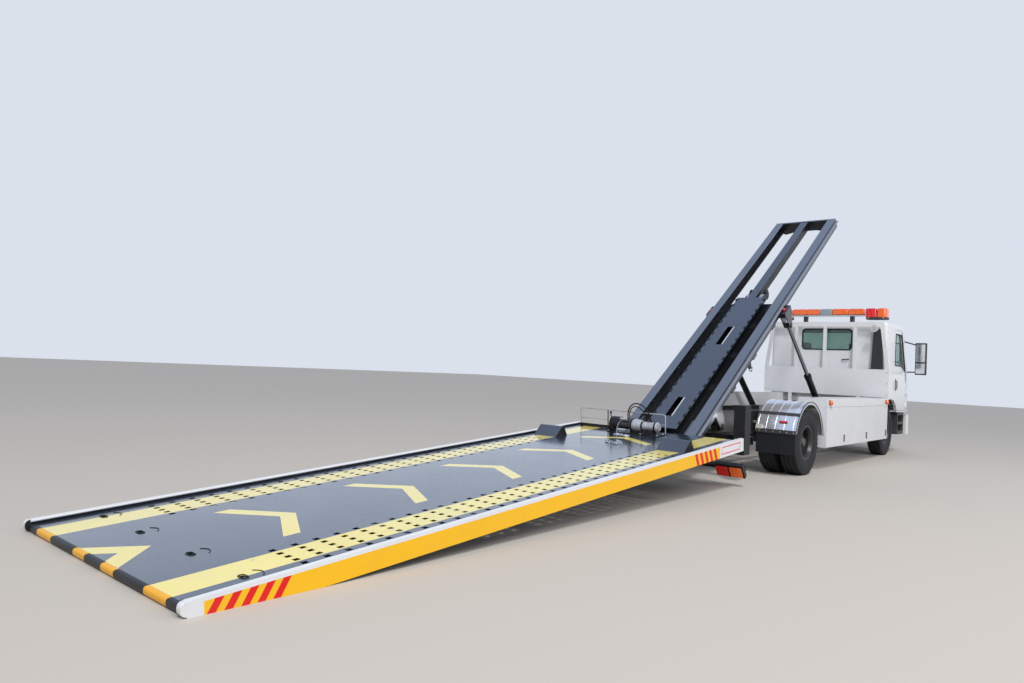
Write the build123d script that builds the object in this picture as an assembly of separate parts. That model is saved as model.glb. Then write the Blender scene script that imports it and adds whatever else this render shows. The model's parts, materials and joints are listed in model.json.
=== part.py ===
from build123d import *
from math import asin, atan, atan2, cos, degrees, hypot, radians, sin, tan
import os

# Flatbed tow truck whose whole deck comes down to the ground: a cab-over lorry with a tilt frame that two
# cylinders raise, a carriage that runs in the frame's channels, and a deck hinged on the carriage.
# Millimetres. X points forward, Y to the left, Z up. Everything is drawn with the rear axle above x = 0
# and the ground at z = 0, and moved at the end so that the origin is under the middle of the whole.

# wheels and axles
wheelbase = 4315.0
tyre_diameter = 851.0
tyre_width = 225.0
rim_diameter = 425.0
hub_radius = 110.0
front_track = 1680.0
twin_outer_y = 950.0
twin_spacing = 290.0
kingpin_y = 700.0
running_gap = 0.08

# chassis
rail_half = 425.0
rail_flange = 70.0
rail_depth = 180.0
rail_top = 720.0
rail_wall = 9.0
chassis_back = -1380.0
subframe_top = 800.0

# tilt frame, drawn flat about its hinge pin and then raised
pin_x = -1320.0
pin_z = 620.0
pin_radius = 28.0
frame_angle = 35.7
frame_top = 365.0
frame_rail_depth = 150.0
frame_half = 487.0
frame_flange = 120.0
frame_wall = 10.0
frame_back = -655.0
cover_half = 210.0
cover_front = 2560.0
beam_half = 85.0

# deck, drawn about its hinge on the carriage: s runs forward along the deck, n up from the hinge
deck_half = 1093.0
deck_length = 6126.0
deck_nose = 200.0
hinge_below_floor = 80.0
floor_thick = 5.0
rail_upstand = 30.0
side_rail_depth = 137.0
side_rail_width = 40.0
side_rail_wall = 6.0
lip_radius = 8.0
tail_edge = 77.0
hinge_radius = 25.0
hinge_rest_u = -905.5
hinge_rest_w = 436.4
carriage_lead = 260.0
carriage_length = 300.0

# lifting cylinders, on a cross line through x, z on the chassis and an eye at u, w on the frame
cyl_y = 545.0
cyl_base_x = 2300.0
cyl_base_z = 600.0
eye_u = 2324.0
eye_w = 30.0
barrel_radius = 47.0
bore_radius = 38.0
rod_radius = 27.0
eye_width = 40.0

# cab
cab_back_x = wheelbase - 365
cab_length = 1610.0
cab_front_x = cab_back_x + cab_length
cab_half = 1000.0
cab_corner = 55.0
roof_z = 2320.0
cab_floor_z = 905.0
cab_bottom_z = 750.0
cab_wall = 45.0
waist_z = 1560.0
arch_radius = 560.0
door_back_x = wheelbase + 165
door_front_x = cab_front_x - 190
door_gap = 6.0
door_hinge_x = door_front_x + 4
door_hinge_z = (850.0, 1090.0)
cab_pivot_x = cab_front_x - 110
cab_pivot_z = 775.0
chassis_front = cab_front_x - 210

# body work beside the chassis
locker_back_x = 640.0
locker_front_x = wheelbase - 535
locker_in = 690.0
locker_out = 1090.0
locker_bottom = 325.0
lid_top = 884.0
locker_top = 1000.0
sheet = 12.0
headboard_x = cab_back_x - 90
board_half = 15.0
headboard_half = 1078.0
headboard_top = 2310.0

tyre_radius = tyre_diameter / 2
frame_front = headboard_x - board_half - 15 - pin_x
carriage_travel = frame_front - 40 - carriage_lead - carriage_length - hinge_rest_u
deck_back = deck_nose - deck_length
rail_high = hinge_below_floor + rail_upstand
rail_low = rail_high - side_rail_depth
floor_low = hinge_below_floor - floor_thick
ear_in = frame_half - 32
spindle_radius = 34.0
post_in = 745.0
post_out = 883.0
post_back = -1600.0
post_bottom = 330.0
post_top = 905.0
headboard_low = 1010.0
headboard_sill = 1490.0
headboard_shoulder = 970.0
headboard_post_y = 510.0
snorkel_y = 870.0
work_lamp_y = 850.0
lid_thick = 25.0
fender_radius = 530.0
fender_sheet = 6.0
fender_lip = 34.0
flap_lap = 30.0
fender_start = 8.0
fender_end = 165.0
fender_in = 560.0
fender_out = 1085.0
fender_ribs = (20.0, 130.0, 245.0, 360.0, 475.0)
rib_height = 7.0
bumper_back = cab_front_x + 2
bumper_front = bumper_back + 88
bumper_low = 330.0
bumper_high = 690.0
lamp_box = (640.0, 930.0, 490.0, 640.0)
step_back = wheelbase + arch_radius + 30
step_front = cab_front_x - 230
step_low = 345.0
step_high = 735.0
roof_front_x = cab_front_x - 500
brow_x = cab_front_x - 410
brow_z = 2270.0
waist_x = cab_front_x - 80
nose_x = cab_front_x - 5
nose_z = 1200.0
rear_glass_low = 1820.0
rear_glass_high = 2190.0
rear_glass_half = 430.0
door_top = 2225.0
door_brow_x = cab_front_x - 560
door_waist_x = cab_front_x - 230
mirror_x = cab_front_x + 20
mirror_y = 1200.0
bar_x = cab_back_x + 450
bar_low = 2455.0
bar_top = 2590.0
bar_feet_y = (535.0, -300.0)
# light bar boxes: right y, left y, half depth, low z, corner radius
bar_sections = ((-900.0, -550.0, 120.0, 2395.0, 60.0), (-515.0, 35.0, 85.0, 2475.0, 20.0),
                (40.0, 255.0, 95.0, 2470.0, 10.0), (260.0, 760.0, 85.0, 2475.0, 20.0),
                (790.0, 900.0, 120.0, 2395.0, 50.0))
member_x = (-1180.0, -620.0, 620.0, 1700.0, 2750.0, cab_back_x - 350, chassis_front - 150)
latch_back = (2346.0, 1220.0, 90.0)
cross_u = (-560.0, 500.0, 1250.0, 2000.0)
cover_slots = ((-330.0, 60.0), (1280.0, 1740.0))
sheave_u = 2800.0
sheave_w = 275.0
roller_radius = 60.0
roller_gap = 0.3
chain_pitch = 76.2
chain_wide = 17.0
chain_narrow = 11.0
chain_depth = 18.0
track_in = 584.0
track_out = 984.0
track_back = deck_back + 630.0
track_front = track_back + 4390.0
row_pitch = 147.0
column_pitch = 80.0
hole_size = 40.0
slot_near = 330.0
slot_far = 900.0
first_beam = -150.0
beam_pitch = 620.0
runner_low = -66.0
runner_back = -4300.0
chock_s = -760.0
chock_in = 640.0
chock_out = 950.0
winch_s = -75.0
drum_radius = 45.0
guard_s = 60.0
guard_left = 960.0
guard_right = -220.0
hoop_left = 240.0
hoop_right = -80.0
hoop_height = 105.0
rope_diameter = 10.0
rope_points = [(-80.0, 250.0, 226.0), (-170.0, 250.0, 226.0), (-300.0, 205.0, 160.0), (-430.0, 130.0, 100.0),
               (-560.0, 40.0, 89.5), (-690.0, -60.0, 89.5)]
rope_radii = [300.0, 300.0, 300.0, 300.0]
hook_thick = 16.0
beyond = 1000.0
scrap_volume = 1e5
pieces = {}


def block(x0, x1, y0, y1, z0, z1):
    middle = Pos((x0 + x1) / 2, (y0 + y1) / 2, (z0 + z1) / 2)
    return middle * Box(abs(x1 - x0), abs(y1 - y0), abs(z1 - z0))


def side_plate(points, y0, y1):
    """A flat plate whose outline lies in the X Z plane and whose thickness runs along Y."""
    outline = make_face(Polyline(*[(x, y0, z) for x, z in points], close=True))
    return extrude(outline, amount=y1 - y0, dir=(0, 1, 0))


def cross_plate(points, x0, x1):
    """A flat plate whose outline lies in the Y Z plane and whose thickness runs along X."""
    outline = make_face(Polyline(*[(x0, y, z) for y, z in points], close=True))
    return extrude(outline, amount=x1 - x0, dir=(1, 0, 0))


def round_y(x, z, radius, y0, y1):
    return Pos(x, (y0 + y1) / 2, z) * Rot(90, 0, 0) * Cylinder(radius, abs(y1 - y0))


def round_x(y, z, radius, x0, x1):
    return Pos((x0 + x1) / 2, y, z) * Rot(0, 90, 0) * Cylinder(radius, abs(x1 - x0))


def round_z(x, y, radius, z0, z1):
    return Pos(x, y, (z0 + z1) / 2) * Cylinder(radius, abs(z1 - z0))


def bar(a, b, radius):
    """A round bar between two points."""
    along = Vector(*b) - Vector(*a)
    return extrude(Plane(origin=a, z_dir=along) * Circle(radius), amount=along.length)


def both(shape):
    """The left-hand piece together with its mirror image on the right."""
    return [shape, mirror(shape, about=Plane.XZ)]


def channel(x0, x1, half, flange, low, high, wall):
    """A channel along X on the left, its web outside and its open side towards the middle."""
    whole = block(x0, x1, half - flange, half, low, high)
    return whole - block(x0 - 1, x1 + 1, half - flange - 1, half - wall, low + wall, high - wall)


def keep(node, shapes, place=None):
    """File the solids of one node, moved to their place at rest."""
    solids = []
    for shape in shapes if isinstance(shapes, (list, tuple)) else [shapes]:
        moved = place * shape if place is not None else shape
        solids.extend(moved.solids())
    pieces[node] = solids


# resting places of what moves
frame_place = Pos(pin_x, 0, pin_z) * Rot(0, -frame_angle, 0)
hinge_x = pin_x + hinge_rest_u * cos(radians(frame_angle)) - hinge_rest_w * sin(radians(frame_angle))
hinge_z = pin_z + hinge_rest_u * sin(radians(frame_angle)) + hinge_rest_w * cos(radians(frame_angle))
tail_reach = hypot(deck_back, rail_high)
deck_angle = degrees(asin((hinge_z - tail_edge) / tail_reach) + atan(rail_high / -deck_back))
deck_place = Pos(hinge_x, 0, hinge_z) * Rot(0, -deck_angle, 0)
carriage_place = frame_place * Pos(hinge_rest_u, 0, hinge_rest_w)
eye_x = pin_x + eye_u * cos(radians(frame_angle)) - eye_w * sin(radians(frame_angle))
eye_z = pin_z + eye_u * sin(radians(frame_angle)) + eye_w * cos(radians(frame_angle))
cyl_length = hypot(eye_x - cyl_base_x, eye_z - cyl_base_z)
cyl_angle = degrees(atan2(eye_z - cyl_base_z, eye_x - cyl_base_x))
cyl_flat = hypot(pin_x + eye_u - cyl_base_x, pin_z + eye_w - cyl_base_z)
cyl_flat_angle = degrees(atan2(pin_z + eye_w - cyl_base_z, pin_x + eye_u - cyl_base_x))
cyl_place = Pos(cyl_base_x, 0, cyl_base_z) * Rot(0, -cyl_angle, 0)
wedge_length = (side_rail_depth - tail_edge) / tan(radians(deck_angle))


def chassis_frame():
    low = rail_top - rail_depth
    rails = both(channel(chassis_back, chassis_front, rail_half, rail_flange, low, rail_top, rail_wall))
    upper = both(channel(chassis_back, cab_back_x - 250, rail_half, rail_flange, rail_top, subframe_top,
                         rail_wall))
    inner = rail_half - rail_wall
    members = [block(x - 40, x + 40, -inner, inner, rail_top - 100, rail_top - 40)
               for x in member_x]
    bosses = both(round_y(pin_x, pin_z, 60, rail_half - rail_flange, ear_in - 5))
    pins = both(round_y(pin_x, pin_z, pin_radius, ear_in - 5, frame_half + 14))
    outer = cyl_y + eye_width / 2
    feet = both(block(cyl_base_x - 70, cyl_base_x + 70, rail_half, cyl_y - barrel_radius - 8,
                      cyl_base_z - 55, cyl_base_z + 90))
    necks = both(round_y(cyl_base_x, cyl_base_z, 40, cyl_y - barrel_radius - 9, cyl_y - eye_width / 2 - 7))
    stubs = both(round_y(cyl_base_x, cyl_base_z, pin_radius, rail_half, outer + 16))
    caps = both(round_y(cyl_base_x, cyl_base_z, 40, outer + 6, outer + 16))
    hinge_plate = [(chassis_front - 150, low), (chassis_front, low), (cab_pivot_x + 32, cab_pivot_z - 20),
                   (cab_pivot_x + 10, cab_pivot_z + 32), (cab_pivot_x - 25, cab_pivot_z + 28),
                   (chassis_front - 150, rail_top)]
    cab_ears = both(side_plate(hinge_plate, rail_half, rail_half + 16))
    cab_pins = both(round_y(cab_pivot_x, cab_pivot_z, 18, rail_half - 75, rail_half + 20))
    body = rails[0]
    for extra in rails[1:] + upper + members + bosses + pins + feet + necks + stubs + caps + cab_ears + cab_pins:
        body = body + extra
    keep("chassis_frame", body)


def rear_beam():
    """The cross beam under the frame's back end, with a box post at each side."""
    front, back = chassis_back + 40, chassis_back - 60
    low = rail_top - rail_depth
    beam = block(back, front, -post_out, post_out, low - 100, low)
    beam = beam - block(back + 8, front - 8, -post_out + 8, post_out - 8, low - 92, low - 8)
    post = block(post_back, back, post_in, post_out, post_bottom, post_top)
    post = post - block(post_back + 8, back - 8, post_in + 8, post_out - 8, post_bottom - 1, post_top - 8)
    for half in both(post):
        beam = beam + half
    keep("rear_beam", beam)


def engine_block():
    back, front = wheelbase - 275, wheelbase + 545
    body = block(back, front, -210, 210, 520, 850) + block(back + 80, front - 160, -150, 150, 400, 520)
    body = body + round_x(0, 560, 130, back - 340, back) + round_x(0, 640, 25, front, front + 15)
    body = body + round_x(0, 640, 190, front + 10, front + 35)
    for mount in both(block(back + 260, back + 380, 205, rail_half - rail_wall, 600, 680)):
        body = body + mount
    keep("engine_block", body)


def front_axle():
    low, high = tyre_radius - 130, tyre_radius - 30
    knee = kingpin_y - 160
    end = kingpin_y - 50
    outline = [(-kingpin_y, high + 40), (-kingpin_y, low + 60), (-end, low + 60), (-knee, low), (knee, low),
               (end, low + 60), (kingpin_y, low + 60), (kingpin_y, high + 40), (knee, high), (-knee, high)]
    beam = cross_plate(outline, wheelbase - 42, wheelbase + 42)
    for boss in both(round_z(wheelbase, kingpin_y, 45, tyre_radius - 75, tyre_radius + 75)):
        beam = beam + boss
    for pin in both(round_z(wheelbase, kingpin_y, 20, tyre_radius - 118, tyre_radius + 118)):
        beam = beam + pin
    for pad in both(block(wheelbase - 60, wheelbase + 60, rail_half - rail_flange, rail_half, high - 5, high + 25)):
        beam = beam + pad
    keep("front_axle", beam)


def rear_axle():
    tube = round_y(0, tyre_radius, 58, -560, 560)
    spindle = round_y(0, tyre_radius, 42, -twin_outer_y + 16, twin_outer_y - 16)
    ball = Pos(0, 0, tyre_radius) * Sphere(165)
    nose = bar((120, 0, tyre_radius), (300, 0, tyre_radius + 8), 70)
    shaft = bar((300, 0, tyre_radius + 8), (wheelbase - 619, 0, 560), 38)
    keep("rear_axle", tube + spindle + ball + nose + shaft)


def leaf(x, half_length, low, rise, thick):
    """A spring pack, thick over the axle and thin at its two eyes, with a hanger at each end."""
    ends = [(x - half_length, low + rise), (x + half_length, low + rise)]
    top = ThreePointArc((ends[0][0], 0, ends[0][1] + 22), (x, 0, low + thick), (ends[1][0], 0, ends[1][1] + 22))
    bottom = ThreePointArc((ends[0][0], 0, ends[0][1] + 4), (x, 0, low), (ends[1][0], 0, ends[1][1] + 4))
    left = Line((ends[0][0], 0, ends[0][1] + 4), (ends[0][0], 0, ends[0][1] + 22))
    right = Line((ends[1][0], 0, ends[1][1] + 4), (ends[1][0], 0, ends[1][1] + 22))
    width = rail_flange - 4
    pack = extrude(make_face([top, right, bottom, left]), amount=width, dir=(0, 1, 0))
    pack = Pos(0, rail_half - rail_flange + 2, 0) * pack
    for end_x, end_z in ends:
        pack = pack + block(end_x - 35, end_x + 35, rail_half - rail_flange + 6, rail_half - 6,
                            end_z, rail_top - rail_depth)
    return pack


def leaf_springs():
    """The four spring packs under the chassis rails."""
    table = [(wheelbase, 600, tyre_radius - 5, 75, 55), (0, 640, tyre_radius + 58.5, 33, 42)]
    solids = []
    for x, half_length, low, rise, thick in table:
        solids.extend(both(leaf(x, half_length, low, rise, thick)))
    keep("leaf_springs", solids)


def headboard():
    x0, x1 = headboard_x - board_half, headboard_x + board_half
    outline = [(-headboard_half, headboard_low), (headboard_half, headboard_low),
               (headboard_half, headboard_sill), (headboard_shoulder, headboard_top),
               (-headboard_shoulder, headboard_top), (-headboard_half, headboard_sill)]
    board = cross_plate(outline, x0, x1)
    z0, z1 = headboard_sill, headboard_top - 85
    slope = (headboard_half - headboard_shoulder) / (headboard_top - headboard_sill)
    edge_low = headboard_half - 62
    edge_high = headboard_half - 62 - slope * (z1 - z0)
    middle = headboard_post_y
    half = 28
    for side in (1, -1):
        outer = [(side * (middle + half), z0), (side * edge_low, z0), (side * edge_high, z1),
                 (side * (middle + half), z1)]
        board = board - cross_plate(outer, x0 - 5, x1 + 5)
        inner = [(side * half, z0), (side * (middle - half), z0), (side * (middle - half), z1), (side * half, z1)]
        board = board - cross_plate(inner, x0 - 5, x1 + 5)
    legs = both(block(x0, x1, 560, 620, 640, headboard_low)) + both(block(x0, x1, rail_half, 620, 640, 700))
    for leg in legs:
        board = board + leg
    keep("headboard", board)


def snorkel():
    """The flat air intake that stands between the headboard and the cab, wider at its foot."""
    x0 = headboard_x + board_half
    depth = cab_back_x - 10 - x0
    foot = Pos(x0 + depth / 2, -snorkel_y, 1250) * Rectangle(depth, 210)
    crown = Pos(x0 + depth / 2, -snorkel_y, 2190) * Rectangle(depth, 130)
    keep("snorkel", loft([foot.face(), crown.face()]))


def body_lamps():
    """Marker lamps on the locker bands, the work lamp on the headboard and the head lamps."""
    solids = both(block(bumper_front - 10, bumper_front + 4, *lamp_box))
    for x in (locker_back_x + 110, locker_front_x - 110):
        solids.extend(both(round_y(x, lid_top + 58, 30, locker_out, locker_out + 12)))
    solids.append(round_x(-work_lamp_y, headboard_top - 120, 62, headboard_x - board_half - 60, headboard_x - board_half))
    keep("body_lamps", solids)


def lockers():
    for side, name in ((1, "left"), (-1, "right")):
        y_in, y_out = side * locker_in, side * locker_out
        box = block(locker_back_x, locker_front_x, y_in, y_out, locker_bottom, locker_top)
        hollow = block(locker_back_x + sheet, locker_front_x - sheet, side * (locker_in + sheet),
                       side * (locker_out - sheet), locker_bottom + sheet, locker_top - sheet)
        mouth = block(locker_back_x - 1, locker_front_x + 1, side * (locker_out - lid_thick - 2),
                      side * (locker_out + 1), locker_bottom - 1, lid_top)
        box = box - hollow - mouth
        middle_x = (locker_back_x + locker_front_x) / 2
        wall = block(middle_x - 6, middle_x + 6, side * (locker_in + sheet / 2),
                     side * (locker_out - lid_thick - 2), locker_bottom + sheet / 2, locker_top - sheet / 2)
        for x in (locker_back_x + 260, locker_front_x - 420):
            arm = block(x - 40, x + 40, side * rail_half, side * (locker_in + sheet / 2), 560, 600)
            box = box + arm
        axis_y = side * (locker_out + 10)
        for x in (locker_back_x + 200, middle_x, locker_front_x - 200):
            rod = round_x(axis_y, lid_top + 2, 4, x - 50, x + 50)
            for end in (x - 50, x + 38):
                box = box + block(end, end + 12, side * (locker_out - 2), side * (locker_out + 14), lid_top,
                                  lid_top + 10)
            box = box + rod
        keep("locker_" + name, box + wall)
        lid = block(locker_back_x + 4, locker_front_x - 4, side * (locker_out - lid_thick), y_out,
                    locker_bottom + 3, lid_top - 3)
        for x in (locker_front_x - back for back in latch_back):
            lid = lid + block(x - 13, x + 13, y_out, side * (locker_out + 9), 385, 475)
        for x in (locker_back_x + 200, middle_x, locker_front_x - 200):
            lid = lid + round_x(axis_y, lid_top + 2, 8, x - 34, x + 34)
            lid = lid + block(x - 34, x + 34, side * (locker_out - 2), side * (locker_out + 10), lid_top - 24,
                              lid_top - 4)
            lid = lid - round_x(axis_y, lid_top + 2, 4 + running_gap, x - 36, x + 36)
        keep("locker_lid_" + name, lid)


def rear_fenders():
    """A ribbed sheet rolled over each pair of rear wheels, with a turned-in outer edge, on two arms."""
    def on_arc(radius, y):
        return (radius * cos(radians(fender_start)), y, tyre_radius + radius * sin(radians(fender_start)))

    inner, crest = fender_radius - fender_sheet, fender_radius + rib_height
    profile = [on_arc(inner, fender_in), on_arc(inner, fender_out - fender_sheet),
               on_arc(fender_radius - fender_lip, fender_out - fender_sheet),
               on_arc(fender_radius - fender_lip, fender_out), on_arc(fender_radius, fender_out)]
    for rib in reversed(fender_ribs):
        y = fender_in + rib
        for radius, edge in ((fender_radius, y + 5), (crest, y + 5), (crest, y - 5), (fender_radius, y - 5)):
            profile.append(on_arc(radius, edge))
    profile.append(on_arc(fender_radius, fender_in))
    axle = Axis((0, 0, tyre_radius), (0, -1, 0))
    fender = revolve(make_face(Polyline(*profile, close=True)), axis=axle, revolution_arc=fender_end - fender_start)
    # the ribs stop where the mud flap lies against the sheet
    end_x, end_z = fender_tail()
    fender = fender - block(end_x - 60, end_x, fender_in - 1, fender_out + 1, end_z - 60, end_z + flap_lap + 1)
    for x in (-240, 240):
        roof = tyre_radius + (inner ** 2 - x ** 2) ** 0.5
        fender = fender + block(x - 15, x + 15, rail_half, fender_in - 50, 640, 670)
        fender = fender + block(x - 15, x + 15, fender_in - 60, fender_in - 30, 640, roof - 12)
        fender = fender + block(x - 15, x + 15, fender_in - 60, fender_out - 10, roof - 36, roof - 8)
    keep("rear_fenders", both(fender))


def fender_tail():
    """The point where the sheet over the rear wheels ends, low behind the tyres."""
    angle = radians(fender_end)
    return fender_radius * cos(angle), tyre_radius + fender_radius * sin(angle)


def mud_flaps():
    end_x, end_z = fender_tail()
    flap = block(end_x - 10, end_x, fender_in + 20, fender_out, 285, end_z + flap_lap)
    keep("mud_flaps", both(flap))


def front_bumper():
    depth = bumper_front - bumper_back
    plan = Pos((bumper_back + bumper_front) / 2, 0) * RectangleRounded(depth, 2 * cab_half + 20, 34)
    bumper = Pos(0, 0, bumper_low) * extrude(plan, amount=bumper_high - bumper_low)
    brackets = both(block(chassis_front, bumper_back + 5, rail_half - rail_flange, rail_half - 10,
                          rail_top - rail_depth + 5, rail_top - 45))
    body = bumper
    for bracket in brackets:
        body = body + bracket
    for recess in both(block(bumper_front - 10, bumper_front + 10, *lamp_box)):
        body = body - recess
    keep("front_bumper", body)


def cab_steps():
    """The step box below each door, with two treads cut in."""
    step = block(step_back, step_front, rail_half + 40, cab_half - 12, step_low, step_high)
    for z in (step_low + 60, step_low + 225):
        step = step - block(step_back + 30, step_front - 30, cab_half - 180, cab_half + 5, z, z + 120)
    arm = block(step_back + 80, step_back + 180, rail_half, rail_half + 45, 600, 680)
    keep("cab_steps", both(step + arm))


def cab_outline(inset):
    points = [(cab_back_x, cab_bottom_z), (cab_back_x, roof_z), (roof_front_x, roof_z), (brow_x, brow_z),
              (waist_x, waist_z), (nose_x, nose_z), (cab_front_x, cab_bottom_z)]
    face = make_face(Polyline(*[(x, 0, z) for x, z in points], close=True))
    return offset(face, amount=-inset, kind=Kind.INTERSECTION) if inset else face


def cab_solid(inset):
    half = cab_half - inset
    face = cab_outline(inset)
    solid = extrude(face, amount=half, dir=(0, 1, 0), both=True)
    return solid


def cab():
    outer = cab_solid(0)
    outer = fillet([edge for edge in outer.edges() if edge.center().Z > cab_bottom_z + 5], cab_corner)
    shell = outer - cab_solid(cab_wall)
    floor_cut = block(cab_back_x - 10, cab_front_x + 10, -cab_half - 10, cab_half + 10, 0, cab_floor_z - 45)
    lower = shell & block(cab_back_x - 10, cab_front_x + 10, -cab_half - 1, cab_half + 1,
                          cab_bottom_z, cab_floor_z - 45)
    lower = lower - block(cab_back_x - 10, cab_front_x - cab_wall, -cab_half + cab_wall, cab_half - cab_wall,
                          cab_bottom_z - 10, cab_floor_z)
    shell = (shell - floor_cut) + lower
    for side in (1, -1):
        arch = round_y(wheelbase, tyre_radius, arch_radius, side * (cab_half - cab_wall - 60), side * (cab_half + 5))
        shell = shell - arch
    rear_hole = Pos(cab_back_x, 0, (rear_glass_low + rear_glass_high) / 2) * Rot(0, 90, 0) * extrude(
        RectangleRounded(rear_glass_high - rear_glass_low, 2 * rear_glass_half, 60), amount=80, both=True)
    screen_points = [(brow_x - 30, brow_z - 55), (waist_x - 12, waist_z + 45), (cab_front_x + 80, waist_z + 45),
                     (cab_front_x + 80, brow_z - 55)]
    screen_hole = side_plate(screen_points, -cab_half + 95, cab_half - 95)
    door_points = [(door_back_x, cab_bottom_z + 25), (door_back_x, door_top), (door_brow_x, door_top),
                   (door_waist_x, waist_z), (door_front_x, nose_z), (door_front_x, cab_bottom_z + 25)]
    door_face = make_face(Polyline(*[(x, 0, z) for x, z in door_points], close=True))
    door_inner = offset(door_face, amount=-door_gap, kind=Kind.INTERSECTION)
    window_points = [(door_back_x + 75, waist_z + 25), (door_back_x + 75, door_top - 75),
                     (door_brow_x - 40, door_top - 75), (door_waist_x - 65, waist_z - 65),
                     (door_waist_x - 330, waist_z + 25)]
    window = side_plate(window_points, -cab_half - 10, cab_half + 10)
    thin = cab_solid(18) - cab_solid(24)
    keep("cab_glass", [(thin & rear_hole), (thin & screen_hole)])
    for side, name in ((1, "left"), (-1, "right")):
        zone = Pos(0, side * (cab_half - cab_wall / 2), 0)
        slab = zone * extrude(door_face, amount=cab_wall / 2 + 5, dir=(0, 1, 0), both=True)
        inner_slab = zone * extrude(door_inner, amount=cab_wall / 2 + 5, dir=(0, 1, 0), both=True)
        big_arch = round_y(wheelbase, tyre_radius, arch_radius + 22, side * (cab_half - 120), side * (cab_half + 5))
        leaf_door = (shell & inner_slab) - big_arch - window
        hinge_y = side * (cab_half + 12)
        for z in door_hinge_z:
            leaf_door = leaf_door + round_z(door_hinge_x, hinge_y, 10, z, z + 80)
            leaf_door = leaf_door + block(door_hinge_x - 45, door_hinge_x - 5, side * (cab_half - 2),
                                          side * (cab_half + 12), z, z + 80)
            leaf_door = leaf_door - round_z(door_hinge_x, hinge_y, 5 + running_gap, z - 5, z + 85)
        keep("door_" + name, leaf_door)
        pane = thin & window & block(cab_back_x, cab_front_x, side * (cab_half - 30), side * cab_half, 0,
                                       roof_z)
        keep("door_glass_" + name, pane)
        shell = shell - slab
    shell = shell - rear_hole - screen_hole
    back_zone = block(cab_back_x - 1, cab_back_x + cab_wall, -cab_half - 1, cab_half + 1, 0,
                      roof_z + beyond)
    roof_zone = block(cab_back_x + cab_wall, cab_front_x + 1, -cab_half - 1, cab_half + 1, roof_z - 61,
                      roof_z + beyond)
    front_points = [(door_front_x, 0), (door_front_x, nose_z), (door_waist_x, waist_z),
                    (door_brow_x, door_top), (door_brow_x, roof_z - 61),
                    (cab_front_x + beyond, roof_z - 61), (cab_front_x + beyond, 0)]
    front_zone = side_plate(front_points, -cab_half - 1, cab_half + 1)
    front = shell & front_zone
    lugs = both(side_plate([(cab_pivot_x - 40, cab_pivot_z - 34), (cab_pivot_x + 30, cab_pivot_z - 34),
                            (cab_front_x - cab_wall, cab_pivot_z + 40), (cab_front_x - cab_wall, cab_floor_z - 25),
                            (cab_pivot_x - 40, cab_floor_z - 25)], rail_half - 60, rail_half - 30))
    for lug in lugs:
        front = front + lug
    front = front - both(round_y(cab_pivot_x, cab_pivot_z, 18 + running_gap, rail_half - 80, rail_half))
    for y in (-cab_half - 12, cab_half + 12):
        inward = cab_half - 2 if y > 0 else -cab_half + 2
        for z in door_hinge_z:
            front = front + round_z(door_hinge_x, y, 5, z - 25, z + 105)
            for low in (z - 25, z + 85):
                front = front + block(door_hinge_x - 6, door_hinge_x + 40, inward, y, low, low + 20)
    slot_low, slot_pitch = 960.0, 62.0
    for row in range(4):
        z = slot_low + row * slot_pitch
        front = front - block(cab_front_x - 70, cab_front_x + 10, -620, 620, z, z + 30)
    keep("cab_front", front)
    keep("cab_back", shell & back_zone)
    keep("cab_roof", shell & roof_zone)
    sides = shell - back_zone - roof_zone - front_zone
    keep("cab_sides", [solid for solid in sides.solids() if solid.volume > scrap_volume])
    inner = cab_half - cab_wall
    floor = block(cab_back_x + cab_wall, cab_front_x - cab_wall - 20, -inner, inner, cab_floor_z - 25, cab_floor_z)
    keep("cab_floor", floor)


def cab_interior():
    """The two seats, and the dash with its steering wheel."""
    solids = []
    seat_x = cab_back_x + 280
    for y in (-470, 470):
        base = block(seat_x, seat_x + 530, y - 245, y + 245, cab_floor_z, cab_floor_z + 330)
        rest = Pos(seat_x - 60, y, cab_floor_z + 290) * Rot(0, -8, 0) * block(0, 130, -240, 240, 0, 760)
        solids.append(base + rest)
    front = cab_front_x
    dash = side_plate([(front - 360, 1180), (front - 320, 1480), (front - 130, 1480), (front - 70, 1220),
                       (front - 70, 1020), (front - 260, 1020)], -cab_half + cab_wall + 20, cab_half - cab_wall - 20)
    wheel_x, wheel_z = front - 520, 1540
    wheel_place = Pos(wheel_x, 470, wheel_z) * Rot(0, 118, 0)
    ring = wheel_place * Torus(200, 13)
    boss = wheel_place * Cylinder(38, 40)
    spokes = wheel_place * Box(24, 2 * 195, 12)
    column = bar((wheel_x, 470, wheel_z), (front - 260, 470, 1400), 24)
    legs = block(front - 260, front - 80, -60, 60, cab_floor_z, 1030)
    solids.append(dash + ring + boss + spokes + column + legs)
    keep("cab_interior", solids)


def mirrors():
    arms = ((1500, cab_front_x - 120, 1490), (2000, cab_front_x - 375, 2050))
    head = Pos(mirror_x, mirror_y, (1450 + 2045) / 2) * Box(90, 190, 595)
    head = fillet(head.edges().filter_by(Axis.Z), 30)
    body = head
    for z, foot_x, foot_z in arms:
        body = body + bar((mirror_x, mirror_y - 60, z), (foot_x, cab_half - 12, foot_z), 12)
    keep("mirrors", both(body - cab_solid(0)))


def light_bar():
    """A row of lens boxes on a rail that two feet carry, with a deeper dome box at each end."""
    body = block(bar_x - 70, bar_x + 70, bar_sections[0][0] + 30, bar_sections[-1][1] - 30, bar_low, bar_low + 25)
    for right_y, left_y, half_depth, low, corner in bar_sections:
        plan = Pos(bar_x, (right_y + left_y) / 2, low) * RectangleRounded(2 * half_depth, left_y - right_y, corner)
        lens = extrude(plan, amount=bar_top - low)
        body = body + fillet(lens.faces().sort_by(Axis.Z)[-1].edges(), 12)
    for y in bar_feet_y:
        body = body + block(bar_x - 45, bar_x + 45, y - 30, y + 30, roof_z, bar_low + 5)
    keep("light_bar", body)


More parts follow.
